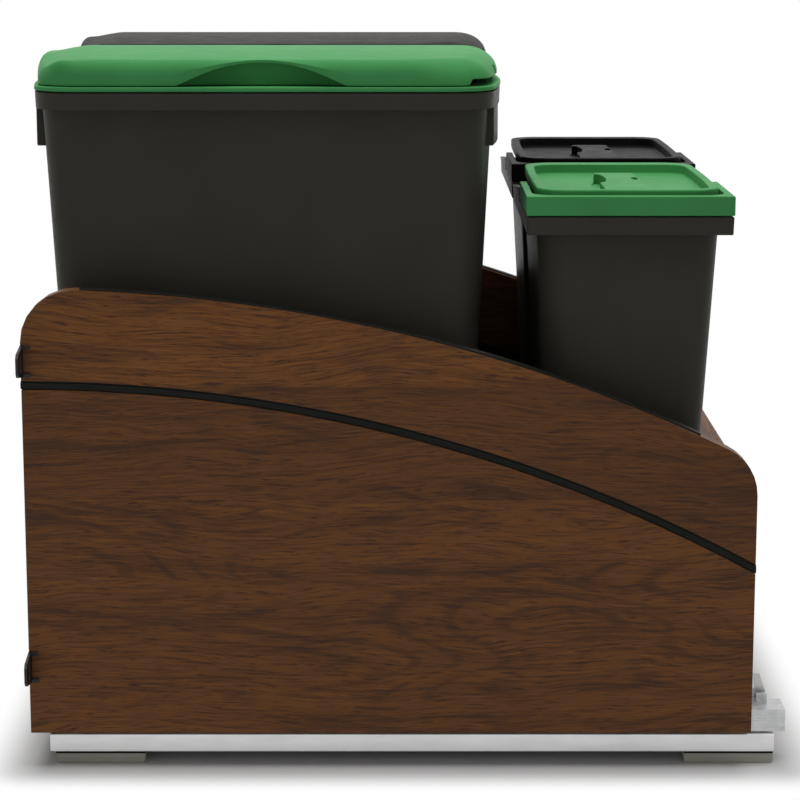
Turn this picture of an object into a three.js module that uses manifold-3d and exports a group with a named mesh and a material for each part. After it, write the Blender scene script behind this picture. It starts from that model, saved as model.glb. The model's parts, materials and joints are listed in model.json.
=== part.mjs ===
// Pull-out waste cabinet: a walnut drawer box on a pair of undermount slides, with door brackets,
// two large lidded bins in front and two small lidded bins with bail handles behind them.
//
// Millimetres, +Z up. The drawer pulls out along -Y. X = 0 is the middle of the drawer, Z = 0 is
// the cabinet floor that the feet stand on, and Y = 0 is the middle of the depth.
import * as THREE from 'three';
import { mergeVertices } from 'three/addons/utils/BufferGeometryUtils.js';
import Module from 'manifold-3d';

const wasm = await Module();
wasm.setup();

// ---- Driving dimensions ----------------------------------------------------------------------

const GAP = 0.3; // between pieces that touch along a curve or in a groove

// Drawer box: 20 1/2 in wide and 21 in long, in 16 mm board
const DRAWER_WIDTH = 520.7;
const DRAWER_LENGTH = 533.4;
const BOARD = 16;
const DRAWER_FRONT = -280.15;
const DRAWER_BOTTOM = 28;
const DRAWER_REAR = DRAWER_FRONT + DRAWER_LENGTH;
const SIDE_OUTER = DRAWER_WIDTH / 2;
const SIDE_INNER = SIDE_OUTER - BOARD;

// The sides' sweeping top edge and the inlay line below it are arcs about one centre
const SWEEP_CENTRE = new THREE.Vector2(-278.85, -813.7); // Y, Z
const SWEEP_RADIUS = 1173;
const SIDE_CORNER_RADIUS = 38.1;
const INLAY_RADIUS = 1103.35;
const INLAY_WIDTH = 5.8;
const INLAY_PROUD = 0.5;
const SWEEP_STEPS = 20;
const CORNER_STEPS = 6;

// Dark strip let into the top edge of each side
const STRIP_WIDTH = 10;
const STRIP_PROUD = 1.4;
const STRIP_SUNK = 2;
const STRIP_FRONT = -236.8;
const STRIP_REAR = 211.2;

const FRONT_PANEL_TOP = 270;
const BACK_PANEL_TOP = 207;
const BOTTOM_PANEL_LOW = 40.7;
const BOTTOM_PANEL_TOP = 47.05;
const GROOVE_DEPTH = 6.4;
const GROOVE_END_MARGIN = 6;

// Door brackets, one pair per side
const BRACKET_HEIGHTS = { upper: 307.5, lower: 79 };
const BRACKET_THICK = 2;
const BRACKET_REACH = 24.5; // beyond the side's outer face
const BRACKET_ROOT_HALF = 11.7;
const BRACKET_TIP_HALF = 8.5;
const BRACKET_TIP_CORNER = 3;
const BRACKET_LET_IN = 13;
const EAR_LENGTH = 5.1;
const EAR_HEIGHT = 2.7;
const EAR_THICK = 1.6;
const PANEL_SCREW_INSET = 7.5;
const DOOR_SLOT_INSET = 12.5;
const DOOR_SLOT_HALF = 4;
const DOOR_SLOT_RADIUS = 2.6;
const SCREW_LENGTH = 25;
const SCREW_RADIUS = 1.7;
const SCREW_HEAD_RADIUS = 3.7;
const SCREW_HEAD_HEIGHT = 1.8;
const SCREW_TIP = 3;
const SCREW_SOCKET_RADIUS = 1.5;
const SCREW_SOCKET_DEPTH = 0.8;
const ROUND_SIDES = 12;

// Undermount slides
const SLIDE_CENTRE = 230.35;
const SHEET = 1.5;
const CHANNEL_HALF = 13.8;
const CHANNEL_LOW = 23.9;
const CHANNEL_LIP = 2.8;
const CHANNEL_FRONT = -263.85;
const CHANNEL_REAR = 280.65;
const MIDDLE_HALF = 9.3;
const MIDDLE_LOW = 25.1;
const MIDDLE_TOP = 36.1;
const MIDDLE_FRONT = -256.85;
const MIDDLE_LENGTH = 500;
const FIXED_HALF = 5.5;
const FIXED_FOOT_HALF = 9.5;
const FIXED_TOP = 33;
const FIXED_FRONT = -262;
const FIXED_REAR = 270;
const CAGE_LENGTH = 200;
const CAGE_SHEET = 0.8;
const INNER_CAGE_MIDDLE = -10;
const OUTER_CAGE_MIDDLE = 3;
const ROLLERS = 6;

// Hook that stands up from the rear of each drawer channel and enters the back panel
const HOOK_TOP = 61;
const HOOK_REAR = 269.4;
const HOOK_TOP_REAR = 264.4;
const HOOK_PIN_HEIGHT = 55;
const HOOK_PIN_HALF = 2.5;
const HOOK_PIN_REACH = 8;
const HOOK_HOLE_RADIUS = 3.6;
const HOOK_SHOULDER = 6; // above the channel
const HOOK_TOP_INSET = 4;
const HOOK_CHAMFER = 3;
const WINDOW_LENGTH = 9;
const WINDOW_DROP = 2; // below the hook's top
const WINDOW_WIDTH = 2.25;
const WINDOW_INSET = 4.25; // of its middle from the hook's sloping rear edge
const WINDOW_LEAN = 1.25;
const TAB_INSET = 7;
const TAB_LENGTH = 8;
const TAB_HEIGHT = 7;

// Base rails, their feet and the ties between them
const RAIL_OUTER = 248.35;
const RAIL_INNER = 212.35;
const RAIL_LOW = 9.6;
const RAIL_TOP = 23;
const RAIL_SHEET = 2;
const RAIL_FRONT = -267.85;
const RAIL_REAR = 272.15;
const FOOT_OUTER = 246.35;
const FOOT_WIDTH = 16.5;
const FOOT_LENGTH = 66.5;
const FOOT_HEIGHT = 7.5;
const FOOT_STARTS = { front: -263.9, rear: 205.4 };
const TIE_STARTS = { front: -246, rear: 212 };
const TIE_WIDTH = 26;

// Large bins, each in its own frame: X = Y = 0 at its middle, Z = 0 under its floor. The short ends
// bow outwards in plan, and rimY and wallY are measured at the crest of the bow.
const LARGE_BIN = {
  rimX: 117, rimY: 173.7, rimRadius: 27, rimBow: 12.2, rimLow: 438.4, rimTop: 450.85,
  wallX: 111.6, wallY: 168.5, wallRadius: 24, floorRadius: 18, wallBow: 10.5, taper: 0.0488,
  wall: 2.4, floor: 3,
};
const LARGE_BIN_X = 121.35;
const LARGE_BIN_Y = -105.1;
const END_POINTS = 5; // along each bowed end
const GRIP_HALF = 77;
const GRIP_LOW = 410;
const GRIP_INSETS = { front: 0.7, rear: 1.3 };
const GRIP_CHAMFER = 0.8;
const GRIP_JOIN = 1.2; // how far it runs into the rim and the wall

// Small bins, in frames of the same kind, with straight ends
const SMALL_BIN = {
  rimX: 112.35, rimY: 75, rimRadius: 1.8, rimBow: 0, rimLow: 348.6, rimTop: 361.9,
  wallX: 104.5, wallY: 67.2, wallRadius: 22, floorRadius: 16, wallBow: 0, taper: 0.055,
  wall: 2.2, floor: 3,
};
const SMALL_BIN_X = 125;
const SMALL_BIN_Y = 159.75;
const LIFT_Z = BOTTOM_PANEL_TOP;
const FLOOR_EDGE = 4; // chamfer under each bin
const RIM_EDGE = 1;
const RIM_DRAFT = 0.4;

// Large bins' lids: a ring seated on the bin's rim, and a shell hinged to it at the rear end
const RING_LOW = 0.9; // above the rim
const RING_TOP = 4.2;
const RING_PROUD = 0.4;
const RING_LAND = 12;
const RING_EDGE = 1;
const RING_SEAT_INSET = 0.5;
const RING_SKIRT_DROP = 14;
const RING_SKIRT_GAP = 1;
const RING_SKIRT_DRAFT = 1.5;
const RING_SKIRT_THICK = 2;
const SHELL = { halfX: 114.6, halfY: 171.5, radius: 25, bow: 12.2, low: 4.9, wall: 2.4 };
const SHELL_SIDE_POINTS = 9; // along each long side
const DOME_INSETS = [0, 1, 3.4, 7, 11, 16, 21.5, 38];
const DOME_LEAST_RADIUS = 4;

// The dome's top above the rim, its crown along X, and the low ledge along its front end
const DOME_TOP = 27.08;
const CROWN = 4.22;
const LEDGE_DROP = 2.95;
const LEDGE_CROWN = 7.9;
const CROWN_HALF = 110; // half width over which both crowns are measured
const LEDGE_LENGTH = 5.63;
const LEDGE_RISE = 22;

// How far in the dome's rounded edge reaches and how far it drops, and where that changes
const DOME_EDGES = {
  side: { reach: 11, drop: 11 },
  rear: { reach: 21.45, drop: 17.14, start: 70, length: 45 },
  front: { reach: 4.45, drop: 8.27, start: 55, length: 35 },
};

// Finger scoop in each long side of the shell: a shallow arch through its edge and a deeper one below
const SCOOP_Y = -0.9;
const SCOOP = { half: 64.5, peak: 21, depth: 15 };
const BROW = { half: 62, peak: 26, depth: 9 };
const ARCH_FULLNESS = 2.3;
const ARCH_FOOT = 1.3;
const ARCH_STEPS = 16;

// Slot under the shell's rear end, and the hinge
const SLOT_START = 147.9;
const SLOT_TOP = 9.4;
const PIN_Y = 165;
const PIN_HEIGHT = 12;
const PIN_RADIUS = 1.5;
const PIN_HALF_LENGTH = 58;
const LUG_OUTER_RADIUS = 3.6;
const LUG_CLEARANCE = 1.4;
const LUG_POST_REAR = 1.4; // behind the pin
const RING_LUG_X = 50;
const SHELL_LUG_X = 36;
const LUG_WIDTH = 10;
const SHELL_ARM_REAR = 2; // behind the pin
const SHELL_ARM_TOP = 20.5;

// Small bins' bail handles and lids
const BAIL_LOW = 0.8; // above the rim
const BAIL_TOP = 14.9;
const BAIL_NEAR = 112.85;
const BAIL_OUTER = 75.3;
const BAIL_BAR = 10;
const BAIL_ARM = 5.3;
const BAIL_CORNER = 16;
const BAIL_END = 5; // behind the pivot
const BAIL_END_LEAN = 1.4;
const PEG_ROOT = 2; // inside the arm
const PIVOT_X = 9.4;
const PIVOT_HEIGHT = 6;
const PEG_RADIUS = 2;
const PEG_REACH = 4.2;
const LUG_HALF = 5;
const LUG_THICK = 4.4;
const LUG_HEIGHT = 9.8;
const CHEEK_START = -1.1;
const CHEEK_HEIGHT = 10;
const CHEEK_FAR_HEIGHT = 0.4;
const CHEEK_PROUD = 0.4;
const CHEEK_OVERHANG = 2;
const CHEEK_WIDTH = 5;
const TRAY = {
  near: 100.4, far: -113.6, half: 67.8, bow: 1.6, radius: 22, low: 11.2, top: 18.4,
  rimWidth: 6.5, farRim: 18, floorTop: 11.4, sheet: 2.4, radiusInner: 17, wellDraft: 2, edge: 1.2,
};
const TRAY_PLUG = { drop: 6, gap: 1.2, draft: 1, radius: 21, radiusInner: 19 };
const THUMB = { nearX: 89, farX: -30, lowY: -17, highY: 14, join: 2, root: 1, below: 0.3 };

// ---- Materials -------------------------------------------------------------------------------

function material(color, roughness, metalness = 0) {
  return new THREE.MeshStandardMaterial({ color, roughness, metalness });
}

const walnut = material('#54301b', 0.5);
const edgeStrip = material('#1a1c18', 0.6);
const blackSteel = material('#0a0a0a', 0.45, 0.6);
const zincSteel = material('#a8a8a8', 0.4, 0.8);
const railPaint = material('#b6b6b6', 0.5, 0.2);
const footPlastic = material('#5c5a52', 0.6);
const padRubber = material('#0c0c0b', 0.8);
const binPlastic = material('#2c2a26', 0.45);
const greyPlastic = material('#585652', 0.5);
const greenPlastic = material('#4f9a60', 0.45);
const blackPlastic = material('#1f1f1d', 0.5);
const cagePlastic = material('#161616', 0.6);

// ---- Geometry helpers ------------------------------------------------------------------------

const v2 = (x, y) => new THREE.Vector2(x, y);

function toSolid(geometry) {
  const bare = geometry.clone();
  bare.deleteAttribute('normal');
  bare.deleteAttribute('uv');
  const merged = mergeVertices(bare, 1e-4);
  return new wasm.Manifold(new wasm.Mesh({
    numProp: 3,
    vertProperties: new Float32Array(merged.attributes.position.array),
    triVerts: new Uint32Array(merged.index.array),
  }));
}

function toGeometry(solid) {
  const { vertProperties, triVerts } = solid.getMesh();
  const geometry = new THREE.BufferGeometry();
  geometry.setAttribute('position', new THREE.BufferAttribute(vertProperties, 3));
  geometry.setIndex(new THREE.BufferAttribute(triVerts, 1));
  const flat = geometry.toNonIndexed();
  flat.computeVertexNormals();
  return flat;
}

function box(x0, x1, y0, y1, z0, z1) {
  const [lowX, highX] = [Math.min(x0, x1), Math.max(x0, x1)];
  const geometry = new THREE.BoxGeometry(highX - lowX, y1 - y0, z1 - z0);
  return toSolid(geometry.translate((lowX + highX) / 2, (y0 + y1) / 2, (z0 + z1) / 2));
}

function extrude(shape, depth, steps) {
  return new THREE.ExtrudeGeometry(shape, { depth, bevelEnabled: false, curveSegments: steps });
}

// An outline in Y and Z, extruded from x0 to x1
function extrudeX(shape, x0, x1, steps = CORNER_STEPS) {
  const low = Math.min(x0, x1);
  const turn = new THREE.Matrix4().makeBasis(
    new THREE.Vector3(0, 1, 0),
    new THREE.Vector3(0, 0, 1),
    new THREE.Vector3(1, 0, 0),
  );
  return toSolid(extrude(shape, Math.abs(x1 - x0), steps).applyMatrix4(turn).translate(low, 0, 0));
}

// An outline in X and Z, extruded from y0 to y1
function extrudeY(shape, y0, y1, steps = CORNER_STEPS) {
  const turn = new THREE.Matrix4().makeBasis(
    new THREE.Vector3(1, 0, 0),
    new THREE.Vector3(0, 0, 1),
    new THREE.Vector3(0, -1, 0),
  );
  return toSolid(extrude(shape, y1 - y0, steps).applyMatrix4(turn).translate(0, y1, 0));
}

// An outline in X and Y, extruded from z0 to z1
function extrudeZ(shape, z0, z1, steps = CORNER_STEPS) {
  return toSolid(extrude(shape, z1 - z0, steps).translate(0, 0, z0));
}

function cylinderAlong(axis, radius, length, x, y, z, sides = 16, farRadius = radius) {
  const geometry = new THREE.CylinderGeometry(farRadius, radius, length, sides);
  if (axis === 'x') geometry.rotateZ(-Math.PI / 2);
  if (axis === 'z') geometry.rotateX(Math.PI / 2);
  return toSolid(geometry.translate(x, y, z));
}

// Points round a rounded rectangle about (x, y), anticlockwise, the same number for any size, with
// further points along its sides parallel to X (alongX) and parallel to Y (alongY)
function roundedOutline(x, y, halfX, halfY, radius, alongX = 0, alongY = 0) {
  const points = [];
  const corners = [[1, 1], [-1, 1], [-1, -1], [1, -1]];
  const [straightX, straightY] = [halfX - radius, halfY - radius];
  corners.forEach(([signX, signY], quarter) => {
    const cx = x + signX * straightX;
    const cy = y + signY * straightY;
    for (let step = 0; step <= CORNER_STEPS; step += 1) {
      const angle = (quarter + step / CORNER_STEPS) * Math.PI / 2;
      points.push(v2(cx + radius * Math.cos(angle), cy + radius * Math.sin(angle)));
    }
    const between = quarter % 2 === 0 ? alongX : alongY;
    for (let step = 1; step <= between; step += 1) {
      const share = 1 - 2 * step / (between + 1);
      const onEnd = v2(x + signX * share * straightX, y + signY * halfY);
      const onSide = v2(x + signX * halfX, y + signY * share * straightY);
      points.push(quarter % 2 === 0 ? onEnd : onSide);
    }
  });
  return points;
}

// A rounded rectangle about (x, 0) whose sides at +Y and -Y bow outwards; halfY is the bow's crest
function bowedOutline(x, halfX, halfY, radius, bow, alongX = 0, alongY = 0) {
  const straight = halfY - bow;
  return roundedOutline(x, 0, halfX, straight, radius, alongX, alongY).map((p) => {
    const share = (p.x - x) / halfX;
    return v2(p.x, p.y * (1 + bow / straight * (1 - share * share)));
  });
}

// A closed solid skinned over rings of [x, y, z] points, all with the same number of points
function loft(rings) {
  const count = rings[0].length;
  const triangles = [];
  const centre = (ring) => [0, 1, 2].map((k) => ring.reduce((sum, p) => sum + p[k], 0) / count);
  const add = (...corners) => corners.forEach((corner) => triangles.push(...corner));
  const last = rings[rings.length - 1];
  for (let i = 0; i < count; i += 1) {
    const j = (i + 1) % count;
    add(centre(rings[0]), rings[0][j], rings[0][i]);
    add(centre(last), last[i], last[j]);
    for (let level = 0; level + 1 < rings.length; level += 1) {
      const [low, high] = [rings[level], rings[level + 1]];
      add(low[i], low[j], high[j]);
      add(low[i], high[j], high[i]);
    }
  }
  const geometry = new THREE.BufferGeometry();
  geometry.setAttribute('position', new THREE.Float32BufferAttribute(triangles, 3));
  return toSolid(geometry);
}

function flatRing(halfX, halfY, radius, z, bow = 0) {
  const outline = bowedOutline(0, halfX, halfY, radius, bow, bow > 0 ? END_POINTS : 0);
  return outline.map((p) => [p.x, p.y, z]);
}

function unite(...solids) {
  return solids.reduce((whole, next) => whole.add(next));
}

// ---- Drawer sides ----------------------------------------------------------------------------

function heightOnSweep(radius, y) {
  const across = y - SWEEP_CENTRE.x;
  return SWEEP_CENTRE.y + Math.sqrt(radius ** 2 - across ** 2);
}

// Points on an arc about the sweep's centre, from y0 to y1
function sweepArc(radius, y0, y1, steps = SWEEP_STEPS) {
  const angleAt = (y) => Math.acos((y - SWEEP_CENTRE.x) / radius);
  const points = [];
  for (let step = 0; step <= steps; step += 1) {
    const angle = angleAt(y0) + (angleAt(y1) - angleAt(y0)) * step / steps;
    points.push(v2(Math.cos(angle), Math.sin(angle)).multiplyScalar(radius).add(SWEEP_CENTRE));
  }
  return points;
}

// The rounded corner where the sweep meets a vertical edge at y; inward is +1 at the front, -1 behind
function sideCorner(y, inward) {
  const centreY = y + inward * SIDE_CORNER_RADIUS;
  const centre = v2(centreY, heightOnSweep(SWEEP_RADIUS - SIDE_CORNER_RADIUS, centreY));
  const start = inward > 0 ? Math.PI : 0;
  const end = centre.clone().sub(SWEEP_CENTRE).angle();
  const points = [];
  for (let step = 0; step <= CORNER_STEPS; step += 1) {
    const angle = start + (end - start) * step / CORNER_STEPS;
    points.push(v2(Math.cos(angle), Math.sin(angle)).multiplyScalar(SIDE_CORNER_RADIUS).add(centre));
  }
  return points;
}

function bracketMortise(side, height) {
  const half = BRACKET_ROOT_HALF + GAP;
  const rear = DRAWER_FRONT + BRACKET_THICK;
  const inner = SIDE_OUTER - BRACKET_LET_IN - GAP;
  const recess = box(side * inner, side * (SIDE_OUTER + 1), DRAWER_FRONT - 1, rear,
    height - half, height + half);
  const screwX = side * (SIDE_OUTER - PANEL_SCREW_INSET);
  const pilot = cylinderAlong('y', SCREW_RADIUS + GAP, SCREW_LENGTH + 2, screwX,
    DRAWER_FRONT + SCREW_LENGTH / 2, height, ROUND_SIDES);
  return recess.add(pilot);
}

function upperBoard(side) {
  const frontCorner = sideCorner(DRAWER_FRONT, 1);
  const rearCorner = sideCorner(DRAWER_REAR, -1);
  const [frontTop, rearTop] = [frontCorner[CORNER_STEPS], rearCorner[CORNER_STEPS]];
  const lowArc = sweepArc(INLAY_RADIUS + INLAY_WIDTH / 2 + GAP, DRAWER_FRONT, DRAWER_REAR);
  const topArc = sweepArc(SWEEP_RADIUS, rearTop.x, frontTop.x).slice(1, -1);
  const outline = new THREE.Shape([...lowArc, ...rearCorner, ...topArc, ...frontCorner.reverse()]);
  const groove = stripShape(STRIP_SUNK + GAP, STRIP_PROUD + 1, GAP);
  const halfGroove = STRIP_WIDTH / 2 + GAP;
  const middle = side * (SIDE_OUTER - BOARD / 2);
  return extrudeX(outline, side * SIDE_INNER, side * SIDE_OUTER)
    .subtract(extrudeX(groove, middle - halfGroove, middle + halfGroove))
    .subtract(bracketMortise(side, BRACKET_HEIGHTS.upper));
}

function lowerBoard(side) {
  const arc = sweepArc(INLAY_RADIUS - INLAY_WIDTH / 2 - GAP, DRAWER_REAR, DRAWER_FRONT);
  const outline = new THREE.Shape([v2(DRAWER_FRONT, DRAWER_BOTTOM), v2(DRAWER_REAR, DRAWER_BOTTOM), ...arc]);
  const groove = box(side * (SIDE_INNER - 1), side * (SIDE_INNER + GROOVE_DEPTH),
    DRAWER_FRONT + GROOVE_END_MARGIN, DRAWER_REAR - GROOVE_END_MARGIN,
    BOTTOM_PANEL_LOW - GAP, BOTTOM_PANEL_TOP + GAP);
  return extrudeX(outline, side * SIDE_INNER, side * SIDE_OUTER)
    .subtract(groove)
    .subtract(bracketMortise(side, BRACKET_HEIGHTS.lower));
}

function inlayStrip(side) {
  const [front, rear] = [DRAWER_FRONT - INLAY_PROUD, DRAWER_REAR + INLAY_PROUD];
  const low = sweepArc(INLAY_RADIUS - INLAY_WIDTH / 2, front, rear);
  const high = sweepArc(INLAY_RADIUS + INLAY_WIDTH / 2, rear, front);
  return extrudeX(new THREE.Shape([...low, ...high]), side * SIDE_INNER, side * SIDE_OUTER);
}

// The edge strip's outline: a band along the sweep, sunk below and proud of the board's edge
function stripShape(sunk, proud, margin) {
  const [front, rear] = [STRIP_FRONT - margin, STRIP_REAR + margin];
  const low = sweepArc(SWEEP_RADIUS - sunk, front, rear);
  const high = sweepArc(SWEEP_RADIUS + proud, rear, front);
  return new THREE.Shape([...low, ...high]);
}

function edgeStripSolid(side) {
  const middle = side * (SIDE_OUTER - BOARD / 2);
  return extrudeX(stripShape(STRIP_SUNK, STRIP_PROUD, 0), middle - STRIP_WIDTH / 2, middle + STRIP_WIDTH / 2);
}

// ---- Front, back and bottom of the drawer ----------------------------------------------------

function frontPanel() {
  const rear = DRAWER_FRONT + BOARD;
  const groove = box(-SIDE_INNER, SIDE_INNER, rear - GROOVE_DEPTH, rear + 1,
    BOTTOM_PANEL_LOW - GAP, BOTTOM_PANEL_TOP + GAP);
  return box(-SIDE_INNER, SIDE_INNER, DRAWER_FRONT, rear, DRAWER_BOTTOM, FRONT_PANEL_TOP).subtract(groove);
}

function backPanel() {
  const front = DRAWER_REAR - BOARD;
  let panel = box(-SIDE_INNER, SIDE_INNER, front, DRAWER_REAR, DRAWER_BOTTOM, BACK_PANEL_TOP);
  panel = panel.subtract(box(-SIDE_INNER - 1, SIDE_INNER + 1, front - 1, front + GROOVE_DEPTH,
    BOTTOM_PANEL_LOW - GAP, BOTTOM_PANEL_TOP + GAP));
  for (const side of [1, -1]) {
    const notchInner = side * (SLIDE_CENTRE - CHANNEL_HALF - GAP);
    const notch = box(notchInner, side * (SIDE_INNER + 1), front - 1, DRAWER_REAR + 1,
      DRAWER_BOTTOM - 1, BOTTOM_PANEL_LOW + GAP);
    const hookX = side * (SLIDE_CENTRE - CHANNEL_HALF + SHEET / 2);
    const holeLength = 2 * (HOOK_PIN_REACH + 2);
    const hole = cylinderAlong('y', HOOK_HOLE_RADIUS, holeLength, hookX, DRAWER_REAR, HOOK_PIN_HEIGHT);
    panel = panel.subtract(notch).subtract(hole);
  }
  return panel;
}

function bottomPanel() {
  const halfWidth = SIDE_INNER + GROOVE_DEPTH - GAP;
  const front = DRAWER_FRONT + BOARD - GROOVE_DEPTH + GAP;
  const rear = DRAWER_REAR - BOARD + GROOVE_DEPTH - GAP;
  return box(-halfWidth, halfWidth, front, rear, BOTTOM_PANEL_LOW, BOTTOM_PANEL_TOP);
}

// ---- Door brackets ---------------------------------------------------------------------------

// One bracket about its own height: Z = 0 is its middle
function doorBracket(side) {
  const root = SIDE_OUTER - BRACKET_LET_IN;
  const tip = SIDE_OUTER + BRACKET_REACH;
  const outline = new THREE.Shape([
    v2(side * root, -BRACKET_ROOT_HALF),
    v2(side * SIDE_OUTER, -BRACKET_ROOT_HALF),
    v2(side * (tip - BRACKET_TIP_CORNER), -BRACKET_TIP_HALF),
    v2(side * tip, -BRACKET_TIP_HALF + BRACKET_TIP_CORNER),
    v2(side * tip, BRACKET_TIP_HALF - BRACKET_TIP_CORNER),
    v2(side * (tip - BRACKET_TIP_CORNER), BRACKET_TIP_HALF),
    v2(side * SIDE_OUTER, BRACKET_ROOT_HALF),
    v2(side * root, BRACKET_ROOT_HALF),
  ]);
  let bracket = extrudeY(outline, DRAWER_FRONT, DRAWER_FRONT + BRACKET_THICK);
  const earFace = SIDE_OUTER + GAP;
  for (const end of [1, -1]) {
    const earEnds = [end * (BRACKET_ROOT_HALF - EAR_HEIGHT), end * BRACKET_ROOT_HALF];
    bracket = bracket.add(box(side * earFace, side * (earFace + EAR_THICK),
      DRAWER_FRONT, DRAWER_FRONT + BRACKET_THICK + EAR_LENGTH, Math.min(...earEnds), Math.max(...earEnds)));
  }
  const slotX = side * (SIDE_OUTER + DOOR_SLOT_INSET);
  const slotMiddle = DRAWER_FRONT + BRACKET_THICK / 2;
  const through = 2 * BRACKET_THICK;
  const slot = unite(
    cylinderAlong('y', DOOR_SLOT_RADIUS, through, slotX, slotMiddle, DOOR_SLOT_HALF),
    cylinderAlong('y', DOOR_SLOT_RADIUS, through, slotX, slotMiddle, -DOOR_SLOT_HALF),
    box(slotX - DOOR_SLOT_RADIUS, slotX + DOOR_SLOT_RADIUS, slotMiddle - through / 2,
      slotMiddle + through / 2, -DOOR_SLOT_HALF, DOOR_SLOT_HALF),
  );
  const screwX = side * (SIDE_OUTER - PANEL_SCREW_INSET);
  const shankHole = cylinderAlong('y', SCREW_RADIUS + GAP, 2 * through, screwX, DRAWER_FRONT, 0, ROUND_SIDES);
  const countersink = cylinderAlong('y', SCREW_HEAD_RADIUS + GAP, SCREW_HEAD_HEIGHT + 2 * GAP, screwX,
    DRAWER_FRONT + SCREW_HEAD_HEIGHT / 2, 0, 16, SCREW_RADIUS + GAP);
  return bracket.subtract(slot).subtract(shankHole).subtract(countersink);
}

// A countersunk screw along Y, its head flush with Y = 0
function bracketScrew() {
  const profile = [
    v2(0, 0),
    v2(SCREW_HEAD_RADIUS, 0),
    v2(SCREW_RADIUS, SCREW_HEAD_HEIGHT),
    v2(SCREW_RADIUS, SCREW_LENGTH - SCREW_TIP),
    v2(0, SCREW_LENGTH),
  ];
  const socket = cylinderAlong('y', SCREW_SOCKET_RADIUS, 2 * SCREW_SOCKET_DEPTH, 0, 0, 0, 6);
  return toSolid(new THREE.LatheGeometry(profile, ROUND_SIDES)).subtract(socket);
}

// ---- Slides, each about the middle of its channel in X ---------------------------------------

// An inverted U of sheet, open below
function invertedU(half, low, top, sheet, y0, y1) {
  const outer = box(-half, half, y0, y1, low, top);
  return outer.subtract(box(-half + sheet, half - sheet, y0 - 1, y1 + 1, low - 1, top - sheet));
}

function fixedMember() {
  const channel = invertedU(FIXED_HALF, RAIL_TOP, FIXED_TOP, SHEET, FIXED_FRONT, FIXED_REAR);
  const feet = [1, -1].map((side) => box(side * (FIXED_HALF - SHEET), side * FIXED_FOOT_HALF,
    FIXED_FRONT, FIXED_REAR, RAIL_TOP, RAIL_TOP + SHEET));
  return unite(channel, ...feet);
}

function middleMember() {
  return invertedU(MIDDLE_HALF, MIDDLE_LOW, MIDDLE_TOP, SHEET, MIDDLE_FRONT, MIDDLE_FRONT + MIDDLE_LENGTH);
}

function rollerCage(innerHalf, outerHalf, low, ceiling, room, middleY) {
  const [y0, y1] = [middleY - CAGE_LENGTH / 2, middleY + CAGE_LENGTH / 2];
  const half = (innerHalf + outerHalf + CAGE_SHEET) / 2;
  const top = ceiling - room / 2 + CAGE_SHEET / 2;
  let cage = invertedU(half, low, top, CAGE_SHEET, y0, y1);
  const radius = room / 2 - 0.25;
  for (let roller = 0; roller < ROLLERS; roller += 1) {
    const y = y0 + CAGE_LENGTH * (roller + 0.5) / ROLLERS;
    cage = cage.add(cylinderAlong('x', radius, innerHalf, 0, y, ceiling - room / 2, 8));
  }
  return cage;
}

function drawerMember(side) {
  const inward = -side;
  const bottom = CHANNEL_LOW + SHEET;
  let member = invertedU(CHANNEL_HALF, CHANNEL_LOW, BOTTOM_PANEL_LOW, SHEET, CHANNEL_FRONT, CHANNEL_REAR);
  for (const edge of [1, -1]) {
    member = member.add(box(edge * (CHANNEL_HALF - CHANNEL_LIP), edge * (CHANNEL_HALF - SHEET / 2),
      CHANNEL_FRONT, CHANNEL_REAR, CHANNEL_LOW, bottom));
  }
  const plateFront = DRAWER_REAR + GAP;
  const slope = new THREE.Shape([
    v2(plateFront, BOTTOM_PANEL_LOW - SHEET / 2),
    v2(HOOK_REAR, BOTTOM_PANEL_LOW - SHEET / 2),
    v2(HOOK_REAR, BOTTOM_PANEL_LOW + HOOK_SHOULDER),
    v2(HOOK_TOP_REAR, HOOK_TOP),
    v2(plateFront + HOOK_TOP_INSET, HOOK_TOP),
    v2(plateFront, HOOK_TOP - HOOK_CHAMFER),
  ]);
  const faceX = inward * CHANNEL_HALF;
  const plate = extrudeX(slope, faceX, faceX - inward * SHEET);
  const windowTop = HOOK_TOP - WINDOW_DROP;
  const windowLow = windowTop - WINDOW_LENGTH;
  const windowMiddle = HOOK_TOP_REAR - WINDOW_INSET;
  const halfWindow = WINDOW_WIDTH / 2;
  const window = new THREE.Shape([
    v2(windowMiddle - halfWindow, windowLow),
    v2(windowMiddle + halfWindow, windowLow),
    v2(windowMiddle + halfWindow - WINDOW_LEAN, windowTop),
    v2(windowMiddle - halfWindow - WINDOW_LEAN, windowTop),
  ]);
  const opening = extrudeX(window, faceX + inward, faceX - inward * (SHEET + 1));
  const pin = box(faceX, faceX - inward * SHEET, DRAWER_REAR - HOOK_PIN_REACH, plateFront + 1,
    HOOK_PIN_HEIGHT - HOOK_PIN_HALF, HOOK_PIN_HEIGHT + HOOK_PIN_HALF);
  const tabX = faceX - inward * TAB_INSET;
  const tab = box(tabX, tabX - inward * SHEET, HOOK_REAR - TAB_LENGTH, HOOK_REAR,
    BOTTOM_PANEL_LOW - SHEET / 2, BOTTOM_PANEL_LOW + TAB_HEIGHT);
  return unite(member, plate, pin, tab).subtract(opening);
}

// ---- Base rails, feet and ties ---------------------------------------------------------------

function baseRail(side) {
  const whole = box(side * RAIL_INNER, side * RAIL_OUTER, RAIL_FRONT, RAIL_REAR, RAIL_LOW, RAIL_TOP);
  return whole.subtract(box(side * (RAIL_INNER - 1), side * (RAIL_OUTER - RAIL_SHEET),
    RAIL_FRONT - 1, RAIL_REAR + 1, RAIL_LOW + RAIL_SHEET, RAIL_TOP - RAIL_SHEET));
}

function crossTie() {
  const half = RAIL_OUTER - RAIL_SHEET - GAP;
  return box(-half, half, 0, TIE_WIDTH, RAIL_LOW + RAIL_SHEET, RAIL_LOW + 2 * RAIL_SHEET);
}

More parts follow.
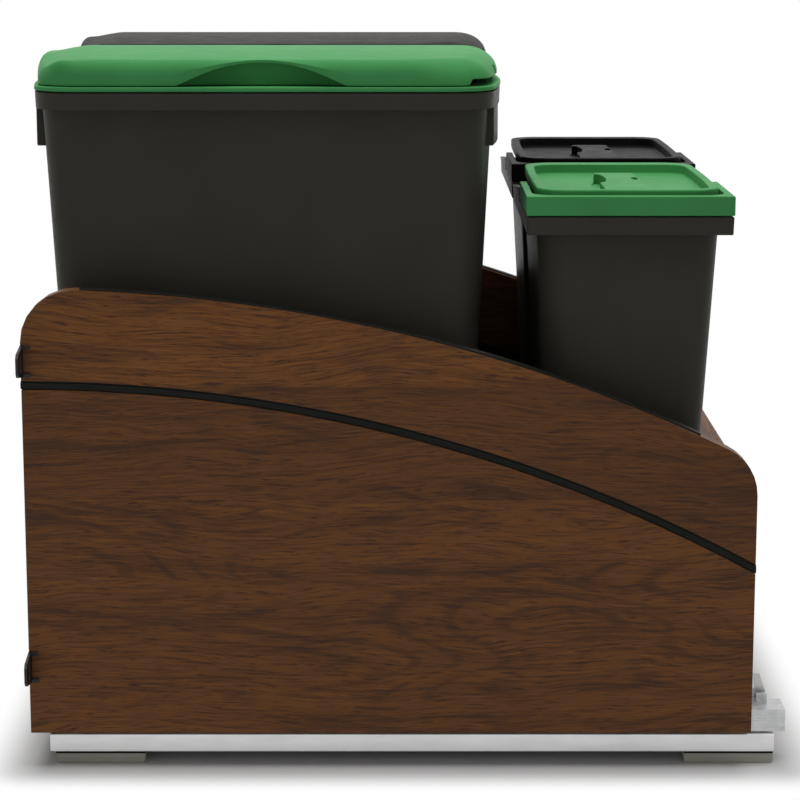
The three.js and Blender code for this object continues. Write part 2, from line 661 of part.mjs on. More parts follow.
function foot() {
  const chamfer = 1.5;
  const half = FOOT_LENGTH / 2;
  const outline = new THREE.Shape([
    v2(-half + chamfer, 0), v2(half - chamfer, 0), v2(half, chamfer),
    v2(half, FOOT_HEIGHT), v2(-half, FOOT_HEIGHT), v2(-half, chamfer),
  ]);
  return extrudeX(outline, -FOOT_WIDTH / 2, FOOT_WIDTH / 2);
}

function footPad() {
  const half = FOOT_LENGTH / 2;
  return box(-FOOT_WIDTH / 2, FOOT_WIDTH / 2, -half, half, FOOT_HEIGHT, RAIL_LOW);
}

// ---- Bins ------------------------------------------------------------------------------------

// The outer face of a tapered tub, closed across its mouth
function tubOutside({ wallX, wallY, wallRadius, floorRadius, wallBow, taper, rimTop }) {
  const [lowX, lowY] = [wallX - taper * rimTop, wallY - taper * rimTop];
  return loft([
    flatRing(lowX - FLOOR_EDGE, lowY - FLOOR_EDGE, floorRadius - FLOOR_EDGE, 0, wallBow),
    flatRing(lowX, lowY, floorRadius, FLOOR_EDGE, wallBow),
    flatRing(wallX, wallY, wallRadius, rimTop, wallBow),
  ]);
}

function tubInside({ wallX, wallY, wallRadius, floorRadius, wallBow, taper, wall, floor, rimTop }) {
  const [lowX, lowY] = [wallX - taper * rimTop, wallY - taper * rimTop];
  return loft([
    flatRing(lowX - wall, lowY - wall, floorRadius - wall, floor, wallBow),
    flatRing(wallX - wall, wallY - wall, wallRadius - wall, rimTop + 1, wallBow),
  ]);
}

// A rim turned down all round, before the tub's inside is taken out of it
function rimFlange({ rimX, rimY, rimRadius, rimBow, rimLow, rimTop, wall }) {
  const edgeRadius = Math.max(rimRadius - RIM_EDGE, RIM_EDGE / 2);
  const underRadius = Math.max(rimRadius - wall, RIM_EDGE);
  const flange = loft([
    flatRing(rimX - RIM_DRAFT, rimY - RIM_DRAFT, rimRadius, rimLow, rimBow),
    flatRing(rimX, rimY, rimRadius, rimTop - RIM_EDGE, rimBow),
    flatRing(rimX - RIM_EDGE, rimY - RIM_EDGE, edgeRadius, rimTop, rimBow),
  ]);
  const under = loft([
    flatRing(rimX - wall, rimY - wall, underRadius, rimLow - 1, rimBow),
    flatRing(rimX - wall, rimY - wall, underRadius, rimTop - wall, rimBow),
  ]);
  return flange.subtract(under);
}

function tub(size) {
  return tubOutside(size).add(rimFlange(size)).subtract(tubInside(size));
}

// The skirt under the middle of each end of the rim, open below for the fingers. It follows the bow.
function endGrip(end, inset) {
  const { rimX, rimY, rimRadius, rimBow, rimLow, wall } = LARGE_BIN;
  const at = (depth, z) => flatRing(rimX - depth, rimY - depth, rimRadius - depth, z, rimBow);
  const solid = loft([
    at(inset + GRIP_CHAMFER, GRIP_LOW),
    at(inset, GRIP_LOW + GRIP_CHAMFER),
    at(inset, rimLow + GRIP_JOIN),
  ]);
  const hollow = loft([at(inset + wall, GRIP_LOW - 1), at(inset + wall, rimLow + GRIP_JOIN + 1)]);
  const [y0, y1] = end > 0 ? [0, rimY] : [-rimY, 0];
  const part = (half, low) => box(-half, half, y0, y1, low, rimLow + GRIP_JOIN + 1);
  const pocket = hollow.intersect(part(GRIP_HALF - wall, GRIP_LOW - 1));
  return solid.intersect(part(GRIP_HALF, GRIP_LOW)).subtract(pocket);
}

function largeBin() {
  const grips = endGrip(1, GRIP_INSETS.rear).add(endGrip(-1, GRIP_INSETS.front));
  const joined = tub(LARGE_BIN).add(grips.subtract(tubOutside(LARGE_BIN)));
  return joined.subtract(tubInside(LARGE_BIN));
}

// Small bin: pivot lugs just inside the bail's arms, and raised cheeks along the far half of each end
function smallBin() {
  const { rimX, rimY, rimTop, wall } = SMALL_BIN;
  const rimRoot = rimTop - wall / 2;
  const far = -rimX - CHEEK_OVERHANG;
  const cheekShape = new THREE.Shape([
    v2(far, rimRoot), v2(CHEEK_START, rimRoot),
    v2(CHEEK_START, rimTop + CHEEK_HEIGHT), v2(far, rimTop + CHEEK_FAR_HEIGHT),
  ]);
  const lugOuter = rimY - BAIL_ARM - GAP;
  let bin = tub(SMALL_BIN);
  for (const end of [1, -1]) {
    const [lugLow, lugHigh] = [end * (lugOuter - LUG_THICK), end * lugOuter].sort((a, b) => a - b);
    const [low, high] = [end * (rimY - CHEEK_WIDTH), end * (rimY + CHEEK_PROUD)].sort((a, b) => a - b);
    const lug = box(PIVOT_X - LUG_HALF, PIVOT_X + LUG_HALF, lugLow, lugHigh, rimRoot, rimTop + LUG_HEIGHT);
    const hole = cylinderAlong('y', PEG_RADIUS + GAP, 3 * LUG_THICK, PIVOT_X, end * lugOuter,
      rimTop + PIVOT_HEIGHT, 12);
    bin = bin.add(lug).subtract(hole).add(extrudeY(cheekShape, low, high));
  }
  return bin;
}

// ---- Large lids ------------------------------------------------------------------------------

// The ring in the bin's frame: a flange over the rim, a land that rests on it and a skirt in the mouth
function lidRing() {
  const { rimX, rimY, rimRadius, rimBow, rimTop, wallX, wallY, wallRadius, wallBow, wall } = LARGE_BIN;
  const outside = (inset, z) => flatRing(rimX + RING_PROUD - inset, rimY + RING_PROUD - inset,
    rimRadius - inset, rimTop + z, rimBow);
  const within = (inset, z, easing = inset) => flatRing(wallX - inset, wallY - inset,
    wallRadius - easing, rimTop + z, wallBow);
  const skirtOuter = wall + RING_SKIRT_GAP;
  const skirtInner = skirtOuter + RING_SKIRT_THICK;
  const flange = loft([
    outside(0, RING_LOW),
    outside(0, RING_TOP - RING_EDGE),
    outside(RING_EDGE, RING_TOP),
  ]);
  const land = loft([within(RING_SEAT_INSET, 0), within(RING_SEAT_INSET, RING_LOW + RING_SEAT_INSET)]);
  const skirt = loft([
    within(skirtOuter + RING_SKIRT_DRAFT, -RING_SKIRT_DROP, skirtOuter),
    within(skirtOuter, RING_SEAT_INSET),
  ]);
  const skirtInside = loft([
    within(skirtInner + RING_SKIRT_DRAFT, -RING_SKIRT_DROP - 1, skirtInner),
    within(skirtInner, RING_LOW),
  ]);
  const hole = loft([within(RING_LAND, 0), within(RING_LAND, RING_TOP + 1)]);
  const pinZ = rimTop + PIN_HEIGHT;
  let ring = unite(flange, land, skirt).subtract(skirtInside).subtract(hole);
  for (const end of [1, -1]) {
    const middle = end * RING_LUG_X;
    const post = box(middle - LUG_WIDTH / 2, middle + LUG_WIDTH / 2, PIN_Y - LUG_OUTER_RADIUS,
      PIN_Y + LUG_POST_REAR, rimTop + RING_TOP - RING_EDGE / 2, pinZ);
    const knuckle = cylinderAlong('x', LUG_OUTER_RADIUS, LUG_WIDTH, middle, PIN_Y, pinZ);
    const bore = cylinderAlong('x', PIN_RADIUS + GAP, LUG_WIDTH + 2, middle, PIN_Y, pinZ, ROUND_SIDES);
    ring = ring.add(post).add(knuckle).subtract(bore);
  }
  return ring;
}

function smoothstep(t) {
  const clamped = Math.min(1, Math.max(0, t));
  return clamped * clamped * (3 - 2 * clamped);
}

// Height of the dome's top above the rim, before its edges fall away
function domeTop(x, y) {
  const rise = smoothstep((y + SHELL.halfY - LEDGE_LENGTH) / LEDGE_RISE);
  const across = (x / CROWN_HALF) ** 2;
  return DOME_TOP - CROWN * across - (LEDGE_DROP + LEDGE_CROWN * across) * (1 - rise);
}

// Height of the dome above the rim at a point that lies an inset in from its outline
function domeHeight(x, y, inset) {
  const { side, rear, front } = DOME_EDGES;
  const toRear = smoothstep((y - SHELL.halfY + rear.start) / rear.length);
  const toFront = smoothstep((-y - SHELL.halfY + front.start) / front.length);
  const blend = (key) => side[key] + (rear[key] - side[key]) * toRear + (front[key] - side[key]) * toFront;
  const short = Math.max(0, 1 - inset / blend('reach'));
  return domeTop(x, y) - blend('drop') * (1 - Math.sqrt(1 - short * short));
}

// The dome; sheet is how far it lies inside the outer surface
function dome(sheet, low) {
  const { rimTop } = LARGE_BIN;
  const outline = (inset) => bowedOutline(0, SHELL.halfX - inset, SHELL.halfY - inset,
    Math.max(SHELL.radius - inset, DOME_LEAST_RADIUS), SHELL.bow, END_POINTS, SHELL_SIDE_POINTS);
  const rings = [outline(sheet).map((p) => [p.x, p.y, rimTop + low])];
  for (const inset of DOME_INSETS) {
    rings.push(outline(sheet + inset).map((p) => {
      const height = Math.max(domeHeight(p.x, p.y, inset) - sheet, low + 1);
      return [p.x, p.y, rimTop + height];
    }));
  }
  return loft(rings);
}

// An arch-shaped block to take away from a long side; spread widens it for the inner face
function archCut(side, { half, peak, depth }, spread) {
  const { rimX, rimTop } = LARGE_BIN;
  const foot = SHELL.low - 1;
  const rise = peak + spread - foot;
  const halfWidth = half + spread;
  const arch = [];
  for (let step = 0; step <= ARCH_STEPS; step += 1) {
    const t = step / ARCH_STEPS * 2 - 1;
    const share = Math.max(0, 1 - Math.abs(t) ** ARCH_FULLNESS) ** ARCH_FOOT;
    arch.push(v2(SCOOP_Y + t * halfWidth, rimTop + foot + rise * share));
  }
  const ends = [v2(SCOOP_Y + halfWidth, rimTop), v2(SCOOP_Y - halfWidth, rimTop)];
  const outline = new THREE.Shape([...ends, ...arch]);
  return extrudeX(outline, side * (rimX - depth - spread), side * (rimX + 2));
}

function lidShell() {
  const { rimX, rimY, rimTop } = LARGE_BIN;
  let outer = dome(0, SHELL.low);
  let inner = dome(SHELL.wall, SHELL.low - 1);
  for (const side of [1, -1]) {
    outer = outer.subtract(archCut(side, BROW, 0)).subtract(archCut(side, SCOOP, 0));
    inner = inner.subtract(archCut(side, BROW, SHELL.wall)).subtract(archCut(side, SCOOP, SHELL.wall));
  }
  let shell = outer.subtract(inner);
  shell = shell.subtract(box(-rimX, rimX, SLOT_START, rimY, rimTop, rimTop + SLOT_TOP));
  const pinZ = rimTop + PIN_HEIGHT;
  const clearRadius = LUG_OUTER_RADIUS + LUG_CLEARANCE;
  const clearHalf = LUG_WIDTH / 2 + 1;
  const boreLength = 2 * (PIN_HALF_LENGTH + 1);
  const bore = cylinderAlong('x', PIN_RADIUS + GAP, boreLength, 0, PIN_Y, pinZ, ROUND_SIDES);
  for (const end of [1, -1]) {
    const ringLug = end * RING_LUG_X;
    const round = cylinderAlong('x', clearRadius, 2 * clearHalf, ringLug, PIN_Y, pinZ);
    const behind = box(ringLug - clearHalf, ringLug + clearHalf, PIN_Y, rimY, rimTop, pinZ);
    const middle = end * SHELL_LUG_X;
    const arm = box(middle - LUG_WIDTH / 2, middle + LUG_WIDTH / 2, PIN_Y - LUG_OUTER_RADIUS,
      PIN_Y + SHELL_ARM_REAR, pinZ, rimTop + SHELL_ARM_TOP);
    const knuckle = cylinderAlong('x', LUG_OUTER_RADIUS, LUG_WIDTH, middle, PIN_Y, pinZ);
    shell = shell.subtract(round).subtract(behind);
    shell = shell.add(arm.intersect(dome(0, SHELL.low))).add(knuckle);
  }
  return shell.subtract(bore);
}

function hingePin() {
  const pinZ = LARGE_BIN.rimTop + PIN_HEIGHT;
  return cylinderAlong('x', PIN_RADIUS, 2 * PIN_HALF_LENGTH, 0, PIN_Y, pinZ, ROUND_SIDES);
}

// ---- Small bins' bails and lids --------------------------------------------------------------

// The U-shaped bail in the bin's frame, over the near half of the rim
function bail() {
  const { rimTop } = SMALL_BIN;
  const [low, high] = [rimTop + BAIL_LOW, rimTop + BAIL_TOP];
  const end = PIVOT_X - BAIL_END;
  const innerY = BAIL_OUTER - BAIL_ARM;
  const innerX = BAIL_NEAR - BAIL_BAR;
  const plan = new THREE.Shape();
  plan.moveTo(end, BAIL_OUTER);
  plan.lineTo(end, innerY);
  plan.lineTo(innerX - BAIL_CORNER, innerY);
  plan.absarc(innerX - BAIL_CORNER, innerY - BAIL_CORNER, BAIL_CORNER, Math.PI / 2, 0, true);
  plan.absarc(innerX - BAIL_CORNER, -innerY + BAIL_CORNER, BAIL_CORNER, 0, -Math.PI / 2, true);
  plan.lineTo(end, -innerY);
  plan.lineTo(end, -BAIL_OUTER);
  plan.lineTo(BAIL_NEAR, -BAIL_OUTER);
  plan.lineTo(BAIL_NEAR, BAIL_OUTER);
  const pivotZ = rimTop + PIVOT_HEIGHT;
  const radius = PIVOT_HEIGHT - BAIL_LOW;
  const side = new THREE.Shape();
  side.moveTo(BAIL_NEAR + 1, low);
  side.lineTo(PIVOT_X, low);
  side.absarc(PIVOT_X, pivotZ, radius, -Math.PI / 2, -Math.PI, true);
  side.lineTo(PIVOT_X - radius + BAIL_END_LEAN, high);
  side.lineTo(BAIL_NEAR + 1, high);
  let handle = extrudeZ(plan, low, high).intersect(extrudeY(side, -BAIL_OUTER - 1, BAIL_OUTER + 1));
  for (const sign of [1, -1]) {
    const pegMiddle = innerY + (PEG_ROOT - PEG_REACH) / 2;
    handle = handle.add(cylinderAlong('y', PEG_RADIUS, PEG_REACH + PEG_ROOT, PIVOT_X,
      sign * pegMiddle, pivotZ, ROUND_SIDES));
  }
  return handle;
}

// A ring round the small lid, whose long sides bow out a little
function trayRing(inset, farInset, radius, z) {
  const near = TRAY.near - inset;
  const far = TRAY.far + farInset;
  const [middle, halfX] = [(near + far) / 2, (near - far) / 2];
  const outline = bowedOutline(middle, halfX, TRAY.half - inset, radius, TRAY.bow);
  return outline.map((p) => [p.x, p.y, SMALL_BIN.rimTop + z]);
}

// The lift-off lid: a tray with a rim, a plug that drops into the bin's mouth and a thumb tab
function smallLid() {
  const { rimTop, wallX, wallY, wall } = SMALL_BIN;
  const { low, top, rimWidth, farRim, floorTop, sheet, radius, radiusInner, wellDraft, edge } = TRAY;
  const body = loft([
    trayRing(1, 1, radius - 1, low),
    trayRing(0, 0, radius, low + 1),
    trayRing(0, 0, radius, top - edge),
    trayRing(edge, edge, radius - edge, top),
  ]);
  const well = loft([
    trayRing(rimWidth + wellDraft, farRim + wellDraft, radiusInner, floorTop),
    trayRing(rimWidth, farRim, radiusInner, top + 1),
  ]);
  const plugRing = (inset, cornerRadius, z) => flatRing(wallX - wall - TRAY_PLUG.gap - inset,
    wallY - wall - TRAY_PLUG.gap - inset, cornerRadius, rimTop + z);
  const plug = loft([
    plugRing(TRAY_PLUG.draft, TRAY_PLUG.radius, -TRAY_PLUG.drop),
    plugRing(0, TRAY_PLUG.radius, low + RIM_EDGE / 2),
  ]);
  const plugInside = loft([
    plugRing(sheet + TRAY_PLUG.draft, TRAY_PLUG.radiusInner, -TRAY_PLUG.drop - 1),
    plugRing(sheet, TRAY_PLUG.radiusInner, floorTop - sheet),
  ]);
  const thumb = box(THUMB.farX, THUMB.nearX + THUMB.join, THUMB.lowY, THUMB.highY,
    rimTop + floorTop - THUMB.root, rimTop + top - THUMB.below);
  return unite(body, plug).subtract(plugInside).subtract(well).add(thumb);
}

// ---- Assembly --------------------------------------------------------------------------------

const cabinet = new THREE.Group();

function place(name, solid, finish, x = 0, y = 0, z = 0, parent = cabinet) {
  const mesh = new THREE.Mesh(toGeometry(solid), finish);
  mesh.name = name;
  mesh.position.set(x, y, z);
  parent.add(mesh);
}

for (const [word, side] of [['right', 1], ['left', -1]]) {
  place(`base_rail_${word}`, baseRail(side), railPaint);
  for (const [end, start] of Object.entries(FOOT_STARTS)) {
    const x = side * (FOOT_OUTER - FOOT_WIDTH / 2);
    const y = start + FOOT_LENGTH / 2;
    place(`foot_${end}_${word}`, foot(), footPlastic, x, y);
    place(`foot_pad_${end}_${word}`, footPad(), padRubber, x, y);
  }
  const x = side * SLIDE_CENTRE;
  const ceiling = BOTTOM_PANEL_LOW - SHEET;
  place(`slide_fixed_member_${word}`, fixedMember(), zincSteel, x);
  place(`slide_middle_member_${word}`, middleMember(), zincSteel, x);
  place(`slide_drawer_member_${word}`, drawerMember(side), zincSteel, x);
  place(`inner_roller_cage_${word}`, rollerCage(FIXED_HALF, MIDDLE_HALF - SHEET, MIDDLE_LOW + 1,
    MIDDLE_TOP - SHEET, MIDDLE_TOP - SHEET - FIXED_TOP, INNER_CAGE_MIDDLE), cagePlastic, x);
  place(`outer_roller_cage_${word}`, rollerCage(MIDDLE_HALF, CHANNEL_HALF - SHEET, MIDDLE_LOW + 1.5,
    ceiling, ceiling - MIDDLE_TOP, OUTER_CAGE_MIDDLE), cagePlastic, x);
  place(`side_upper_board_${word}`, upperBoard(side), walnut);
  place(`side_lower_board_${word}`, lowerBoard(side), walnut);
  place(`side_inlay_${word}`, inlayStrip(side), edgeStrip);
  place(`top_edge_strip_${word}`, edgeStripSolid(side), edgeStrip);
  for (const [level, height] of Object.entries(BRACKET_HEIGHTS)) {
    place(`door_bracket_${level}_${word}`, doorBracket(side), blackSteel, 0, 0, height);
    place(`bracket_screw_${level}_${word}`, bracketScrew(), zincSteel,
      side * (SIDE_OUTER - PANEL_SCREW_INSET), DRAWER_FRONT, height);
  }
}

for (const [end, start] of Object.entries(TIE_STARTS)) {
  place(`cross_tie_${end}`, crossTie(), railPaint, 0, start);
}

place('drawer_front_panel', frontPanel(), walnut);
place('drawer_back_panel', backPanel(), walnut);
place('drawer_bottom_panel', bottomPanel(), walnut);

const binFinishes = [['right', 1, greenPlastic, greenPlastic], ['left', -1, greyPlastic, blackPlastic]];
for (const [word, side, largeFinish, smallFinish] of binFinishes) {
  const large = new THREE.Group();
  large.position.set(side * LARGE_BIN_X, LARGE_BIN_Y, LIFT_Z);
  cabinet.add(large);
  place(`large_bin_${word}`, largeBin(), binPlastic, 0, 0, 0, large);
  place(`large_lid_ring_${word}`, lidRing(), largeFinish, 0, 0, 0, large);
  place(`large_lid_shell_${word}`, lidShell(), largeFinish, 0, 0, 0, large);
  place(`large_lid_hinge_pin_${word}`, hingePin(), zincSteel, 0, 0, 0, large);

  const small = new THREE.Group();
  small.position.set(side * SMALL_BIN_X, SMALL_BIN_Y, LIFT_Z);
  cabinet.add(small);
  place(`small_bin_${word}`, smallBin(), binPlastic, 0, 0, 0, small);
  place(`small_bin_bail_${word}`, bail(), smallFinish, 0, 0, 0, small);
  place(`small_bin_lid_${word}`, smallLid(), smallFinish, 0, 0, 0, small);
}

cabinet.updateMatrixWorld(true);

export default cabinet;
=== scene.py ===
import json
import math

import bmesh
import bpy
import numpy as np
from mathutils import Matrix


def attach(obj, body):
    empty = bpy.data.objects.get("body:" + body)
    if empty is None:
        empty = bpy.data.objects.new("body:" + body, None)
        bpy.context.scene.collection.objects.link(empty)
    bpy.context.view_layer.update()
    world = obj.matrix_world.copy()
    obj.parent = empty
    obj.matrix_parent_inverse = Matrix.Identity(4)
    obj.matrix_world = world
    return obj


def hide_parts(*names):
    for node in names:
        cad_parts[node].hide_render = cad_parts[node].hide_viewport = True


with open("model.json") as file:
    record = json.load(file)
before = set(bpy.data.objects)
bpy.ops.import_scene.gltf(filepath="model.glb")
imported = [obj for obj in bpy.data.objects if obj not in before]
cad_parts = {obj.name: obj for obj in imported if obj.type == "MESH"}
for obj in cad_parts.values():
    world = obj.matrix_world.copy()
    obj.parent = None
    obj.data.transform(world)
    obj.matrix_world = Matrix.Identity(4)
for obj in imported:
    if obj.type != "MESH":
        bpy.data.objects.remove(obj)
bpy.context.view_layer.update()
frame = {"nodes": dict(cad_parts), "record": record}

MM = 0.001
SIDES = (("right", 1), ("left", -1))

# ---- Driving dimensions ----------------------------------------------------------------------

SIDE_OUTER = 260.35
BOARD = 16.0
SIDE_INNER = SIDE_OUTER - BOARD
DRAWER_FRONT = -280.15
DRAWER_REAR = 253.25

SWEEP_CENTRE = (-278.85, -813.7)  # Y, Z of the arcs along the sides
SWEEP_RADIUS = 1173.0
INLAY_RADIUS = 1103.35
INLAY_HALF = 2.9
INLAY_PROUD = 0.5
INLAY_SHOULDER = 1.1
INLAY_RIB_HALF = 1.7
INLAY_RIB_SLOPE = 0.35
STRIP_HALF = 5.0
STRIP_PROUD = 1.4
STRIP_SUNK = 2.0
STRIP_ENDS = (-236.8, 211.2)

LIFT = 47.05  # top of the bottom panel, on which the bins stand

# The large bins' short ends bow outwards in plan; rim_y and wall_y are at the crest of the bow
LARGE_BIN = dict(
    rim_x=117.0, rim_y=173.7, rim_radius=27.0, rim_bow=12.2, rim_low=438.4, rim_top=450.85, wall_x=111.6,
    wall_y=168.5, wall_radius=24.0, floor_radius=18.0, wall_bow=10.5, taper=0.0488, wall=2.4, floor=3.0,
)
LARGE_BIN_PLACE = (121.35, -105.1)
END_POINTS = 15
GRIP_HALF = 77.0
GRIP_LOW = 410.0
GRIP_INSETS = {"front": 0.7, "rear": 1.3}
GRIP_CHAMFER = 0.8

SMALL_BIN = dict(
    rim_x=112.35, rim_y=75.0, rim_radius=1.8, rim_bow=0.0, rim_low=348.6, rim_top=361.9, wall_x=104.5,
    wall_y=67.2, wall_radius=22.0, floor_radius=16.0, wall_bow=0.0, taper=0.055, wall=2.2, floor=3.0,
)
SMALL_BIN_PLACE = (125.0, 159.75)
FLOOR_EDGE = 5.0
FLOOR_FILLET = 7.0
RIM_DRAFT = 0.4
RIM_EDGE = 1.2

# Large lids, heights above the bin's rim
RING_LOW = 0.9
RING_TOP = 4.2
RING_PROUD = 0.4
RING_LAND = 12.0
RING_SKIRT_DROP = 14.0
SHELL_X = 114.6
SHELL_Y = 171.5
SHELL_RADIUS = 25.0
SHELL_BOW = 12.2
SHELL_LOW = 4.9
SHELL_WALL = 2.4
DOME_TOP = 27.08
CROWN = 4.22
CROWN_HALF = 110.0
LEDGE_DROP = 2.95
LEDGE_CROWN = 7.9
LEDGE_LENGTH = 5.63
LEDGE_RISE = 22.0
# The dome's rounded edge at the sides, the rear and the front: how far in it reaches, how far it drops
EDGE_SIDE = (11.0, 11.0)
EDGE_REAR = (21.45, 17.14)
EDGE_FRONT = (4.45, 8.27)
REAR_START, REAR_LENGTH = 70.0, 45.0
FRONT_START, FRONT_LENGTH = 55.0, 35.0
SCOOP_HALF = 64.5
SCOOP_PEAK = 21.0
SCOOP_DEPTH = 14.5
SCOOP_Y = -0.9
BROW_HALF = 66.0
BROW_FOOT = 11.5
BROW_PEAK = 22.95
SLOT_START = 147.9
SLOT_TOP = 9.4
PIN_Y = 165.0
PIN_HEIGHT = 12.0
LUG_RADIUS = 3.6
RING_LUG_X = 50.0
SHELL_LUG_X = 36.0
LUG_WIDTH = 10.0
BORE_RADIUS = 1.8
PIN_WAY_HALF = 59.0
ARM_TOP = 17.5
LIP = 0.35
# The shell's skin: the stretch of its sides that has points of its own, how far in its outline is followed, and
# by what steps
STRAIGHT_HALF = 125.0
DOME_DEPTH = 30.0
INSET_STEP = 0.5

# Small bins' bails and lids, heights above the bin's rim
BAIL_LOW = 0.8
BAIL_TOP = 14.9
BAIL_NEAR = 112.85
BAIL_OUTER = 75.3
BAIL_BAR = 10.0
BAIL_ARM = 5.3
BAIL_CORNER = 16.0
PIVOT_X = 9.4
PIVOT_HEIGHT = 6.0
PEG_RADIUS = 2.0
PEG_REACH = 4.2
LUG_HALF = 5.0
LUG_THICK = 4.4
LUG_HEIGHT = 9.8
CHEEK_START = -1.1
CHEEK_HEIGHT = 10.0
CHEEK_FAR_HEIGHT = 0.4
CHEEK_WIDTH = 5.0
CHEEK_PROUD = 0.4
CHEEK_OVERHANG = 2.0
TRAY = dict(
    near=100.4, far=-113.6, half=67.8, bow=1.6, radius=22.0, low=11.2, top=18.4,
    rim=6.5, far_rim=18.0, floor=11.4, sheet=2.4, inner_radius=17.0,
)
TRAY_PLUG_DROP = 6.0
THUMB = dict(near=91.0, far=-30.0, low=-17.0, high=14.0, corner=5.0)
# Hollows in the thumb tab: middle X and Y, half length and half width
THUMB_BITE = (12.0, -15.6, 31.0, 5.0)
THUMB_DIMPLE = (14.0, 11.4, 9.5, 2.8)

# Heights of the seams between the veneer's leaves
UPPER_SEAM = 288.6
LOWER_SEAMS = (205.0, 250.3)

# ---- Mesh helpers ----------------------------------------------------------------------------

WELD = 0.01


def new_object(name, points, faces):
    """A mesh object from points in millimetres."""
    mesh = bpy.data.meshes.new(name)
    mesh.from_pydata((np.asarray(points, float) * MM).tolist(), [], faces)
    obj = bpy.data.objects.new(name, mesh)
    bpy.context.collection.objects.link(obj)
    return obj


def tidy_mesh(obj):
    """Welds points that fall together, drops what has no area and turns every face outwards."""
    bm = bmesh.new()
    bm.from_mesh(obj.data)
    bmesh.ops.remove_doubles(bm, verts=bm.verts, dist=WELD * MM)
    bmesh.ops.dissolve_degenerate(bm, edges=bm.edges, dist=WELD * MM)
    bmesh.ops.recalc_face_normals(bm, faces=bm.faces)
    bm.to_mesh(obj.data)
    bm.free()


def ring(half_x, half_y, radius, z, xs=(), ys=(), middle_x=0.0, arc=10, bow=0.0, ends=0):
    """Points round a rounded rectangle, anticlockwise. xs and ys are further points on its straight sides,
    or ends is how many to space along X. With a bow the sides at +Y and -Y swell, half_y being the crest."""
    straight_y = half_y - bow
    if ends:
        xs = np.linspace(radius - half_x, half_x - radius, ends + 2)[1:-1]
    points = []
    corners = ((1, 1, xs[::-1]), (-1, 1, ys[::-1]), (-1, -1, xs), (1, -1, ys))
    for quarter, (sign_x, sign_y, between) in enumerate(corners):
        for step in range(arc + 1):
            angle = (quarter + step / arc) * math.pi / 2
            x = middle_x + sign_x * (half_x - radius) + radius * math.cos(angle)
            y = sign_y * (straight_y - radius) + radius * math.sin(angle)
            points.append((x, y, z))
        for value in between:
            if quarter in (0, 2):
                points.append((value, sign_y * straight_y, z))
            else:
                points.append((sign_x * half_x + middle_x, value, z))
    points = np.array(points)
    along = (points[:, 0] - middle_x) / half_x
    points[:, 1] *= 1 + bow / straight_y * (1 - along ** 2)
    return points


def loft(name, rings, loop=False):
    """A closed skin over rings of the same number of points. The ends are flat unless it is a loop."""
    count = len(rings[0])
    points = np.concatenate(rings)
    faces = []
    spans = len(rings) if loop else len(rings) - 1
    for level in range(spans):
        low, high = level * count, (level + 1) % len(rings) * count
        for i in range(count):
            j = (i + 1) % count
            faces.append((low + i, low + j, high + j, high + i))
    if not loop:
        for first in (0, (len(rings) - 1) * count):
            middle = len(points)
            points = np.vstack([points, points[first:first + count].mean(axis=0)])
            faces += [(first + i, first + (i + 1) % count, middle) for i in range(count)]
    obj = new_object(name, points, faces)
    tidy_mesh(obj)
    return obj


def prism(name, outline, axis, low, high):
    """An outline of two coordinates, extruded along the third axis."""
    order = {"x": (2, 0, 1), "y": (0, 2, 1), "z": (0, 1, 2)}[axis]
    rings = []
    for level in (low, high):
        flat = [(a, b, level) for a, b in outline]
        rings.append([tuple(p[k] for k in order) for p in flat])
    count = len(outline)
    faces = [tuple(range(count)), tuple(range(2 * count - 1, count - 1, -1))]
    for i in range(count):
        j = (i + 1) % count
        faces.append((i, j, count + j, count + i))
    obj = new_object(name, rings[0] + rings[1], faces)
    tidy_mesh(obj)
    return obj


def block(name, x, y, z):
    """A box between two values on each axis, in any order."""
    (x0, x1), (y0, y1), (z0, z1) = (sorted(pair) for pair in (x, y, z))
    return prism(name, [(x0, y0), (x1, y0), (x1, y1), (x0, y1)], "z", z0, z1)


def oval(a, b, half_a, half_b, sides):
    """Points round an oval about (a, b)."""
    turns = [2 * math.pi * i / sides for i in range(sides)]
    return [(a + half_a * math.cos(t), b + half_b * math.sin(t)) for t in turns]


def rod(name, axis, radius, low, high, a, b):
    """A round bar along an axis, about the point (a, b) of the other two."""
    return prism(name, oval(a, b, radius, radius, 32), axis, low, high)


def settle(obj):
    """Turns an object's modifiers into its mesh."""
    evaluated = obj.evaluated_get(bpy.context.evaluated_depsgraph_get())
    mesh = bpy.data.meshes.new_from_object(evaluated)
    obj.modifiers.clear()
    obj.data = mesh
    return obj


def combine(obj, operation, *others):
    """Joins or cuts closed meshes, and removes the others."""
    for other in others:
        step = obj.modifiers.new("combine", "BOOLEAN")
        step.operation = operation
        step.solver = "MANIFOLD"
        step.object = other
        settle(obj)
        bpy.data.objects.remove(other)
    return obj


def ease(obj, width, segments=2, angle=35.0):
    """Rounds the edges that are sharper than an angle in degrees."""
    step = obj.modifiers.new("ease", "BEVEL")
    step.width = width * MM
    step.segments = segments
    step.limit_method = "ANGLE"
    step.angle_limit = math.radians(angle)
    step.miter_outer = "MITER_ARC"
    return settle(obj)


def shade(obj, angle=32.0):
    """Smooth faces with creases where they meet at more than an angle in degrees."""
    obj.data.shade_smooth()
    obj.data.set_sharp_from_angle(angle=math.radians(angle))
    step = obj.modifiers.new("normals", "WEIGHTED_NORMAL")
    step.keep_sharp = True
    return obj


def span_about(middle, half):
    """The two ends of a stretch, in rising order."""
    return middle - half, middle + half


def body_of_node(node):
    """The body that the record gives a node."""
    bodies = frame["record"]["behaviour"]["bodies"]
    return next(body for body, nodes in bodies.items() if node in nodes)


def slot_of_node(node):
    """The material slot that the record gives a node."""
    return next(s["material_slot"] for s in frame["record"]["subparts"] if s["node"] == node)


